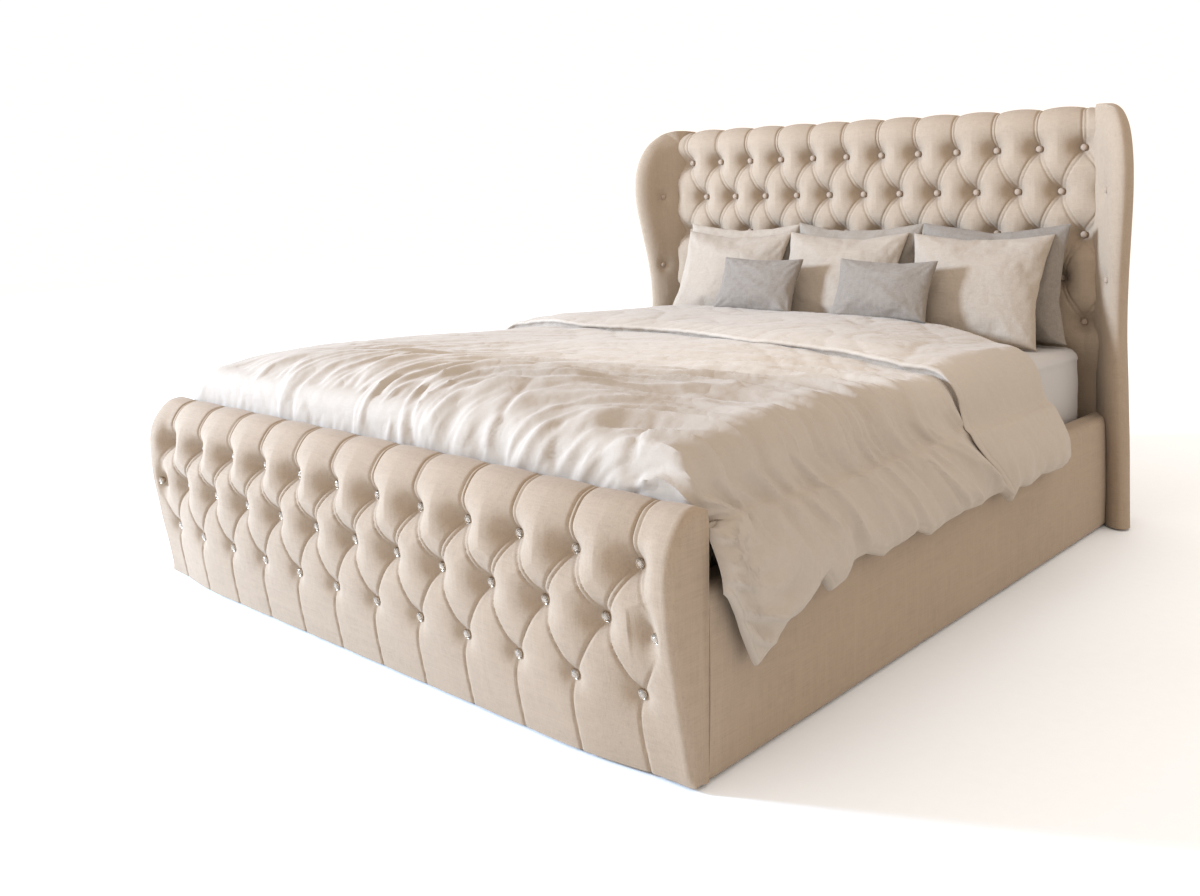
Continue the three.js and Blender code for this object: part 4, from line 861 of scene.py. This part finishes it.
def apply_modifiers(piece):
    evaluated = piece.evaluated_get(bpy.context.evaluated_depsgraph_get())
    mesh = bpy.data.meshes.new_from_object(evaluated)
    old = piece.data
    piece.modifiers.clear()
    piece.data = mesh
    bpy.data.meshes.remove(old)
    mesh.polygons.foreach_set("use_smooth", [True] * len(mesh.polygons))


def build_pillow(name, node, material, depth, lean, seed, back, raised):
    # A little larger than the node's box, because the sides are drawn in between the corners.
    low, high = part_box(node)
    width = (high.x - low.x) * 1.05
    height = (high.z - low.z) * 1.09 / math.cos(lean)
    case_width, case_height = width * 1.05, height * 1.06
    columns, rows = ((44, 36))
    points, faces = envelope(case_width, case_height, columns, rows, seed)
    piece = make(name, points, faces, material)
    result = inflate(piece, PILLOW_FILL * 3.2)
    result -= (result.max(axis=0) + result.min(axis=0)) / 2
    span = result.max(axis=0) - result.min(axis=0)
    result *= np.array([width / span[0], depth / span[1], height / span[2]])
    flat_x = points[:, 0] / case_width * width
    flat_z = points[:, 2] / case_height * height
    a, b = flat_x / width, flat_z / height
    # The blown-up case keeps its fullness, but its outline is eased back to a rectangle.
    result[:, 0] = (flat_x + (result[:, 0] - flat_x) * 0.3) * (1 - PINCUSHION * (1 - 4 * b * b))
    result[:, 2] = (flat_z + (result[:, 2] - flat_z) * 0.3) * (1 - PINCUSHION * (1 - 4 * a * a))
    result[:, 1] += np.sign(points[:, 1]) * pillow_creases(a, b, seed)
    share = (result[:, 2] + height / 2) / height
    result[:, 1] *= 1 + 0.12 * (0.5 - share)
    result[:, 2] += np.clip(0.08 - share, 0, 0.08) * height * 0.6
    cos, sin = math.cos(lean), math.sin(lean)
    y = result[:, 1] * cos + result[:, 2] * sin
    z = -result[:, 1] * sin + result[:, 2] * cos
    result[:, 0] += (low.x + high.x) / 2
    result[:, 1] = y + ((low.y + high.y) / 2 + back)
    result[:, 2] = z + (low.z + raised + 0.3 * MM - z.min())
    piece.data.vertices.foreach_set("co", result.astype(np.float32).ravel())
    soften = piece.modifiers.new("Subdivision", "SUBSURF")
    soften.levels = 1
    apply_modifiers(piece)
    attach(piece, "platform")
    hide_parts(node)


# Piece, node, cloth, thickness, lean, seed, how far it is set back and raised.
PILLOWS = [
    ("cushion_back_left", "pillow_back_left", cream_cloth, 0.100, 0.13, 11, 0.0, 0.003),
    ("cushion_back_middle", "pillow_back_middle", shaded_cream_cloth, 0.100, 0.13, 12, 0.0, 0.008),
    ("cushion_back_right", "pillow_back_right", grey_cloth, 0.100, 0.13, 13, 0.0, 0.008),
    ("cushion_front_left", "pillow_front_left", cream_cloth, 0.108, 0.42, 14, 0.022, 0.0),
    ("cushion_front_middle", "pillow_front_middle", cream_cloth, 0.108, 0.42, 15, 0.022, 0.0),
    ("cushion_front_right", "pillow_front_right", cream_cloth, 0.112, 0.42, 16, 0.022, 0.0),
    ("small_cushion_left", "cushion_left", grey_cloth, 0.086, 0.42, 21, 0.012, 0.010),
    ("small_cushion_right", "cushion_right", grey_cloth, 0.086, 0.42, 22, 0.012, 0.010),
]
for pillow in PILLOWS:
    build_pillow(*pillow)


# Duvet: hangs outside the rails, tucked in at the foot, with a band turned down at the head.
DUVET_UNDER = REST + 1.5 * MM
BAND_FILL = 25 * MM
SIDE_FILL = 19 * MM
TOP_FILL = 55 * MM
HANG_X = duvet_high.x - 33 * MM
BAND_HEM = 0.04
BAND_START = 0.58
HEAD_FOLD = duvet_high.y - 4 * MM
HEAD_TURN = 30 * MM
THINNEST = 6 * MM
LINING_GAP = 0.6 * MM
HEM_ROUND = 45 * MM
HEM_STITCH = 14.5 * MM
BAND_STITCH = 22 * MM
STITCH_DEPTH = 1.3 * MM
STITCH_WIDTH = 2.4 * MM
FOOT_TURN = -0.80
# Place along the bed and height, from the tucked hem up to the flat top.
FOOT_UNDER = [
    (-0.9985, 0.395), (-0.9985, 0.43), (-0.9985, 0.46), (-0.9972, 0.480), (-0.990, 0.4975),
    (-0.979, 0.5075), (-0.963, 0.5132), (-0.93, 0.5135), (-0.87, 0.5135), (FOOT_TURN, 0.5135),
]
FOOT_OVER = [
    (-1.004, 0.394), (-1.0095, 0.428), (-1.0095, 0.458), (-1.005, 0.482), (-0.993, 0.506), (-0.974, 0.524),
    (-0.945, 0.541), (-0.905, 0.555), (-0.85, 0.565), (FOOT_TURN, 0.5685),
]
# Heights of the hanging hem along the bed.
HEM_RIGHT = [
    (-1.02, 0.315), (-1.0, 0.300), (-0.975, 0.262), (-0.955, 0.222), (-0.93, 0.172), (-0.905, 0.184),
    (-0.87, 0.213), (-0.82, 0.226), (-0.78, 0.250), (-0.74, 0.272), (-0.71, 0.240), (-0.66, 0.244),
    (-0.61, 0.266), (-0.56, 0.270), (-0.50, 0.252), (-0.42, 0.262), (-0.36, 0.272), (-0.30, 0.250),
    (-0.2, 0.258), (-0.13, 0.268), (-0.05, 0.262), (0.03, 0.264), (0.046, 0.236), (0.08, 0.246),
    (0.13, 0.259), (0.18, 0.264), (0.30, 0.252), (0.42, 0.266), (0.54, 0.262),
]
HEM_LEFT = [
    (-1.02, 0.34), (-0.99, 0.25), (-0.93, 0.20), (-0.85, 0.232), (-0.74, 0.243), (-0.62, 0.262),
    (-0.5, 0.243), (-0.36, 0.262), (-0.22, 0.25), (-0.05, 0.263), (0.12, 0.247), (0.3, 0.262),
    (0.48, 0.25), (0.62, 0.262),
]
# The band's turned lip: place behind its hem and share of the band's thickness.
BAND_LIP = [
    (0.009, 0.0), (0.005, 0.04), (0.001, 0.12), (-0.002, 0.24), (-0.002, 0.37), (0.000, 0.48), (0.005, 0.56),
]


# Folds that sweep round the corner: height in mm, spacing, run, seed and sharpness.
ARC_FOLDS = [
    (20.0, 0.115, 0.66, 71, 2.2), (10.0, 0.058, 0.36, 72, 2.3), (-5.0, 0.085, 0.48, 78, 4.0),
    (3.2, 0.032, 0.22, 73, 2.4),
]


def duvet_path():
    """Across the bed from the middle down to the lowest hem, as distance, x and z."""
    edge = mattress_high.x
    points = [
        (0.0, DUVET_UNDER), (0.4, DUVET_UNDER), (edge - 0.10, DUVET_UNDER),
        (edge - 0.02, DUVET_UNDER - 1 * MM), (edge + 0.016, DUVET_UNDER - 0.028),
        (edge + 0.042, DUVET_UNDER - 0.09), (edge + 0.062, RAIL_TOP + 0.09),
        (HANG_X - 6 * MM, RAIL_TOP + 0.03), (HANG_X, RAIL_TOP - 0.015), (HANG_X, RAIL_TOP - 0.07),
        (HANG_X, RAIL_TOP - 0.16),
    ]
    fine = curve(points, 500)
    run = np.concatenate([[0], np.cumsum(np.linalg.norm(np.diff(fine, axis=0), axis=1))])
    return run, fine[:, 0], fine[:, 1]


def ridges(across, along, size, length, seed, sharp):
    """Long folds: 1 along their crests, falling to 0 between them."""
    wave = noise(across / size, along / length + seed * 0.37, seed)
    return (1 - np.abs(np.clip(wave * 1.25, -1, 1))) ** sharp


def fold_frame(s, y):
    """Distance and turn about the corner that the folds sweep round, in metres."""
    skew = 1.3 * np.clip(s - 0.80, 0, None)
    bend = 0.055 * noise(s * 1.9, y * 1.9, 51) + 0.014 * noise(s * 6, y * 6, 52)
    across, along = 0.74 - s, y - skew + 1.2
    distance = np.hypot(across, along)
    turn = (math.pi / 2 - np.arctan2(across, along)) * np.clip(distance, 0.35, 1.2)
    return distance + bend, turn


def duvet_relief(s, y, band):
    """Height of the folds over the filling; s is the distance from the middle along the cloth."""
    side = smoothstep(np.abs(s), 0.68, 0.88)
    foot = smoothstep(-y, 0.25, 0.85) * (1 - 0.6 * smoothstep(-s, -0.1, 0.5))
    right = smoothstep(s, 0.05, 0.6) * smoothstep(-y, -0.05, 0.4)
    strength = 0.22 + 0.78 * np.maximum(np.maximum(foot, right), side)
    strength = strength * (0.85 + 0.4 * noise(s * 2.7, y * 2.7, 61))
    out, turn = fold_frame(s, y)
    folds = sum(height * ridges(out, turn, *shape) for height, *shape in ARC_FOLDS)
    gather = smoothstep(-y, 0.80, 1.04) * (1 - side)
    folds = folds - gather * 17.0 * ridges(s + 0.25 * y, y, 0.078, 0.5, 74, 2.6)
    warp_s, warp_y = (
        place + 0.12 * noise(s * 1.9, y * 1.9, seed) + 0.012 * noise(s * 6, y * 6, seed + 2)
        for place, seed in ((s, 91), (y, 92))
    )
    loose = 8.0 * noise(s * 2.3, y * 2.6, 75) + 1.8 * noise(s * 5.2, y * 6.0, 79)
    loose = loose - 3.0 * ridges(warp_s + 0.5 * warp_y, warp_y, 0.22, 0.46, 76, 3.6)
    loose = loose - 1.2 * ridges(0.6 * warp_s - warp_y, warp_s, 0.13, 0.26, 77, 3.6)
    main = folds * strength + loose - 5.5
    calm = 6.5 * noise(s * 2.4, y * 2.9, 81) + 1.5 * noise(s * 6, y * 7, 84)
    calm = calm - 3.0 * ridges(warp_s + 0.4 * warp_y, warp_y, 0.18, 0.36, 82, 3.4)
    calm = calm - 1.5 * ridges(warp_s - 0.8 * warp_y, warp_y, 0.08, 0.2, 83, 3.2) + 1.0
    return (main * (1 - band) + calm * band) * MM


def duvet_rows(step):
    """Rows from foot to head: under y and z, over y and z, band, head fold, and if lined."""
    count = 40
    under, over = curve(FOOT_UNDER, count), curve(FOOT_OVER, count)
    rows = [(*a, *b, 0.0, 0.0, True) for a, b in zip(under, over)]
    top_z = FOOT_OVER[-1][1]
    for y in np.arange(FOOT_TURN + step, BAND_HEM + 0.007, step):
        rows.append((y, DUVET_UNDER, y, top_z, 0.0, 0.0, True))
    for back, share in BAND_LIP:
        rows.append((BAND_HEM + back, DUVET_UNDER, BAND_HEM + back, top_z, share, 0.0, False))
    near, far = np.arange(0.012, 0.036, 2.6 * MM), np.arange(0.036 + step / 2, 1.0, step)
    places = np.concatenate([near, far]) + BAND_HEM
    for y in places[places < HEAD_FOLD - HEAD_TURN]:
        share = BAND_START + (1 - BAND_START) * smoothstep(y - BAND_HEM, 0.01, 0.10)
        rows.append((y, DUVET_UNDER, y, top_z, share, 0.0, y > BAND_HEM + 0.024))
    for angle in np.linspace(0, math.pi, 13)[1:]:
        y = HEAD_FOLD - HEAD_TURN + HEAD_TURN * math.sin(min(angle, math.pi / 2))
        rows.append((y, DUVET_UNDER, y, top_z, 1.0, angle / math.pi, True))
    return np.array(rows, float)


def duvet_shift(s, side_y):
    """How far the cloth lies off its row: the band and its hem sweep back at the sides."""
    to_head = smoothstep(side_y, 0.1, HEAD_FOLD)
    near_band = (side_y - BAND_HEM) / 0.12
    shift = -to_head * (0.21 * smoothstep(s, 0.42, 0.80) + 0.06 * smoothstep(-s, 0.5, 0.85))
    shift = shift + 0.13 * smoothstep(s, 0.86, 1.05) * np.exp(-(near_band**2))
    sway = 0.030 * noise(s * 3.1, 0.5, 7) - 0.05 * smoothstep(s, 0.45, 0.75)
    return shift + sway * np.exp(-((near_band * 0.6) ** 2))


def duvet_faces(count, columns, keep):
    """Outer skin, lining over the kept rows, and the strips that join them round the edge."""
    offset = count * columns
    faces = ring_faces(count, columns, 0, closed=False)
    faces += [face[::-1] for face in ring_faces(len(keep), columns, offset, closed=False)]
    for j in range(columns - 1):
        faces.append([offset + j, offset + j + 1, j + 1, j])
        a, b = (count - 1) * columns + j, offset + (len(keep) - 1) * columns + j
        faces.append([a, a + 1, b + 1, b])
    place_of = {int(k): n for n, k in enumerate(keep)}
    for edge in (0, columns - 1):
        below = 0
        for k in range(count - 1):
            following = place_of.get(k + 1, below)
            quad = [k * columns + edge, (k + 1) * columns + edge, offset + following * columns + edge]
            if following != below:
                quad.append(offset + below * columns + edge)
            faces.append(quad if edge == 0 else quad[::-1])
            below = following
    return faces


def build_duvet():
    run, path_x, path_z = duvet_path()
    rows = duvet_rows(7.5 * MM)
    under_y, under_z, over_y, over_z, lift, fold, kept = (column[:, None] for column in rows.T)
    near_hem = np.array([0, 2, 4.5, 7, 9.5, 11.5, 13.5, 15.5, 18, 22, 28, 36]) * MM
    rim = near_hem[-1] + 5 * MM
    inner = np.linspace(-1 + rim, 1 - rim, 360)
    share = np.concatenate([-1 + near_hem, inner, 1 - near_hem[::-1]])[None, :]
    # Along the cloth, so that the folds keep their size where it turns down at the foot.
    rises = np.hypot(np.diff(over_y[:, 0]), np.diff(over_z[:, 0]))
    turn_row = int(np.argmax(over_y[:, 0] >= FOOT_TURN - 1e-9))
    cloth_y = over_y.copy()
    cloth_y[:turn_row, 0] = FOOT_TURN - np.cumsum(rises[:turn_row][::-1])[::-1]
    in_foot = np.clip((FOOT_TURN - cloth_y) / (FOOT_TURN - cloth_y[0, 0]), 0, 1)
    foot_y = FOOT_TURN + in_foot * (FOOT_BACK + 3 * MM - FOOT_TURN)
    side_y = np.where(in_foot > 0, foot_y, over_y)
    reach = []
    for table in (HEM_LEFT, HEM_RIGHT):
        places = np.array(table)
        reach.append(np.interp(-np.interp(side_y, places[:, 0], places[:, 1]), -path_z, run))
    half = np.where(share < 0, *reach)
    s = share * half
    sign, away = np.sign(s), np.abs(s)
    gap = half - away
    side = smoothstep(away, 0.70, 0.84)
    front = 1 - smoothstep(away, 0.79, 0.87)
    shift = duvet_shift(s, side_y)
    cloth = cloth_y + shift
    flute = 9 + 9 * noise(cloth * 6.5 + 3.3, sign * 2.5, 31) + 6 * noise(cloth * 15, sign * 1.5, 33)
    flute = np.clip(flute * smoothstep(away, 0.84, 1.06), 0, None) * MM
    x = sign * (np.interp(away, run, path_x) + flute)
    y = under_y * front + side_y * (1 - front) + shift
    z = np.interp(away, run, path_z) + (under_z - DUVET_UNDER) * front
    base = spots(x, y, z)
    across_y, across_z = over_y - under_y, over_z - under_z
    top_thick = np.hypot(across_y, across_z)
    upwards = across_z / top_thick * (1 - side) + 1e-3
    rise = spots(sign * side, across_y / top_thick * (1 - side), upwards)
    rise /= np.linalg.norm(rise, axis=-1)[..., None]
    slope = np.where(s < 0, smoothstep(-s, 0.48, 0.86), smoothstep(s, 0.20, 0.80))
    dome = 1 - (1 - SIDE_FILL / TOP_FILL) * slope
    dome = dome + (1 - dome) * smoothstep(in_foot, 0.35, 0.8)
    edge_round = np.sqrt(1 - (1 - np.clip(in_foot.max() - in_foot, 0, 0.1) / 0.1) ** 2)
    thick = top_thick * dome * (1 - side) + SIDE_FILL * (0.15 + 0.85 * edge_round) * side
    hem = np.clip(gap / HEM_ROUND, 0, 1)
    hem_round = np.sqrt(1 - (1 - hem) ** 2)
    relief = duvet_relief(s, cloth, (lift > 0) * np.ones_like(s))
    calmed = 1 - 0.85 * smoothstep(in_foot, 0.72, 0.95) * (1 - side)
    relief = relief * calmed * (0.35 + 0.65 * hem)
    thick = np.maximum(thick + relief, THINNEST) * (0.16 + 0.84 * hem_round)
    thick = thick + BAND_FILL * (1 - 0.45 * side) * lift * (0.3 + 0.7 * hem_round)
    # Stitch lines along the side hems and, on the band, along its own hem.
    on_band = lift >= BAND_START
    thick = thick - STITCH_DEPTH * bell(gap - HEM_STITCH, STITCH_WIDTH)
    thick = thick - STITCH_DEPTH * bell(side_y - BAND_HEM - BAND_STITCH, STITCH_WIDTH) * on_band
    thick = np.where(fold > 0, thick * 0.5 * (1 + np.cos(math.pi * fold)), thick)
    outer = base + rise * thick[..., None]
    keep = np.flatnonzero(kept)
    lining = base[keep] + rise[keep] * LINING_GAP
    points = np.vstack([outer.reshape(-1, 3), lining.reshape(-1, 3)])
    faces = duvet_faces(*s.shape, keep)
    make("duvet_cover", points, faces, duvet_cloth, "platform", "duvet", ["duvet"], 0.6)


build_duvet()


# CAD nodes that show as they are get their real finish.
FINISHES = {
    "frame_": steel, "hinge_plate": steel, "lift_arm": steel, "rear_link": steel, "corner_bracket": steel,
    "platform_bracket": steel, "gas_cylinder": cylinder, "gas_rod": chrome, "glide": plastic,
    "ledger": timber, "floor_bearer": timber, "centre_board": timber, "slat_base": slat_wood,
    "storage_floor": board, "lift_strap": webbing, "headboard_back_panel": panel_linen,
}
for node_name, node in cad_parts.items():
    for start, finish in FINISHES.items():
        if node_name.startswith(start):
            node.data.materials.clear()
            node.data.materials.append(finish)


# Floor, light and camera.
def build_stage(reach=14.0):
    mesh = bpy.data.meshes.new("studio_floor")
    corners = [(-reach, -reach, 0), (reach, -reach, 0), (reach, reach, 0), (-reach, reach, 0)]
    mesh.from_pydata(corners, [], [(0, 1, 2, 3)])
    mesh.materials.append(plain("pale_floor", "f6fbff", 0.8, 0.0, 40, 0.01, 0.02))
    floor = bpy.data.objects.new("studio_floor", mesh)
    bpy.context.scene.collection.objects.link(floor)
    world = bpy.data.worlds.new("studio")
    world.use_nodes = True
    background = world.node_tree.nodes["Background"]
    set_sockets(background, {"Color": (1.0, 0.908, 0.833, 1), "Strength": 1.2})
    bpy.context.scene.world = world


def area_light(name, place, target, size, power, colour):
    light = bpy.data.lights.new(name, "AREA")
    light.shape = "RECTANGLE"
    light.size, light.size_y = size
    light.energy = power
    light.color = colour
    lamp = bpy.data.objects.new(name, light)
    lamp.location = place
    lamp.rotation_euler = (Vector(target) - Vector(place)).to_track_quat("-Z", "Y").to_euler()
    bpy.context.scene.collection.objects.link(lamp)


build_stage()
area_light("key", (-5.4, -4.45, 2.2), (0, 0.1, 0.6), (1.2, 1.2), 1360, (0.56, 0.715, 0.95))
area_light("bounce", (0.5, -0.5, 1.15), (-0.8, 1.0, 0.95), (0.9, 0.5), 5, (0.9, 0.95, 1.0))

camera_data = bpy.data.cameras.new("camera")
camera_data.lens = 33.197
camera_data.sensor_width = 36
camera_data.shift_x = 0.00375
camera_data.shift_y = -0.1915
camera = bpy.data.objects.new("camera", camera_data)
camera.location = (1.840, -2.434, 0.894)
camera.rotation_euler = (math.radians(90), 0, math.radians(41.52))
bpy.context.scene.collection.objects.link(camera)
bpy.context.scene.camera = camera
bpy.context.scene.view_settings.view_transform = "Standard"
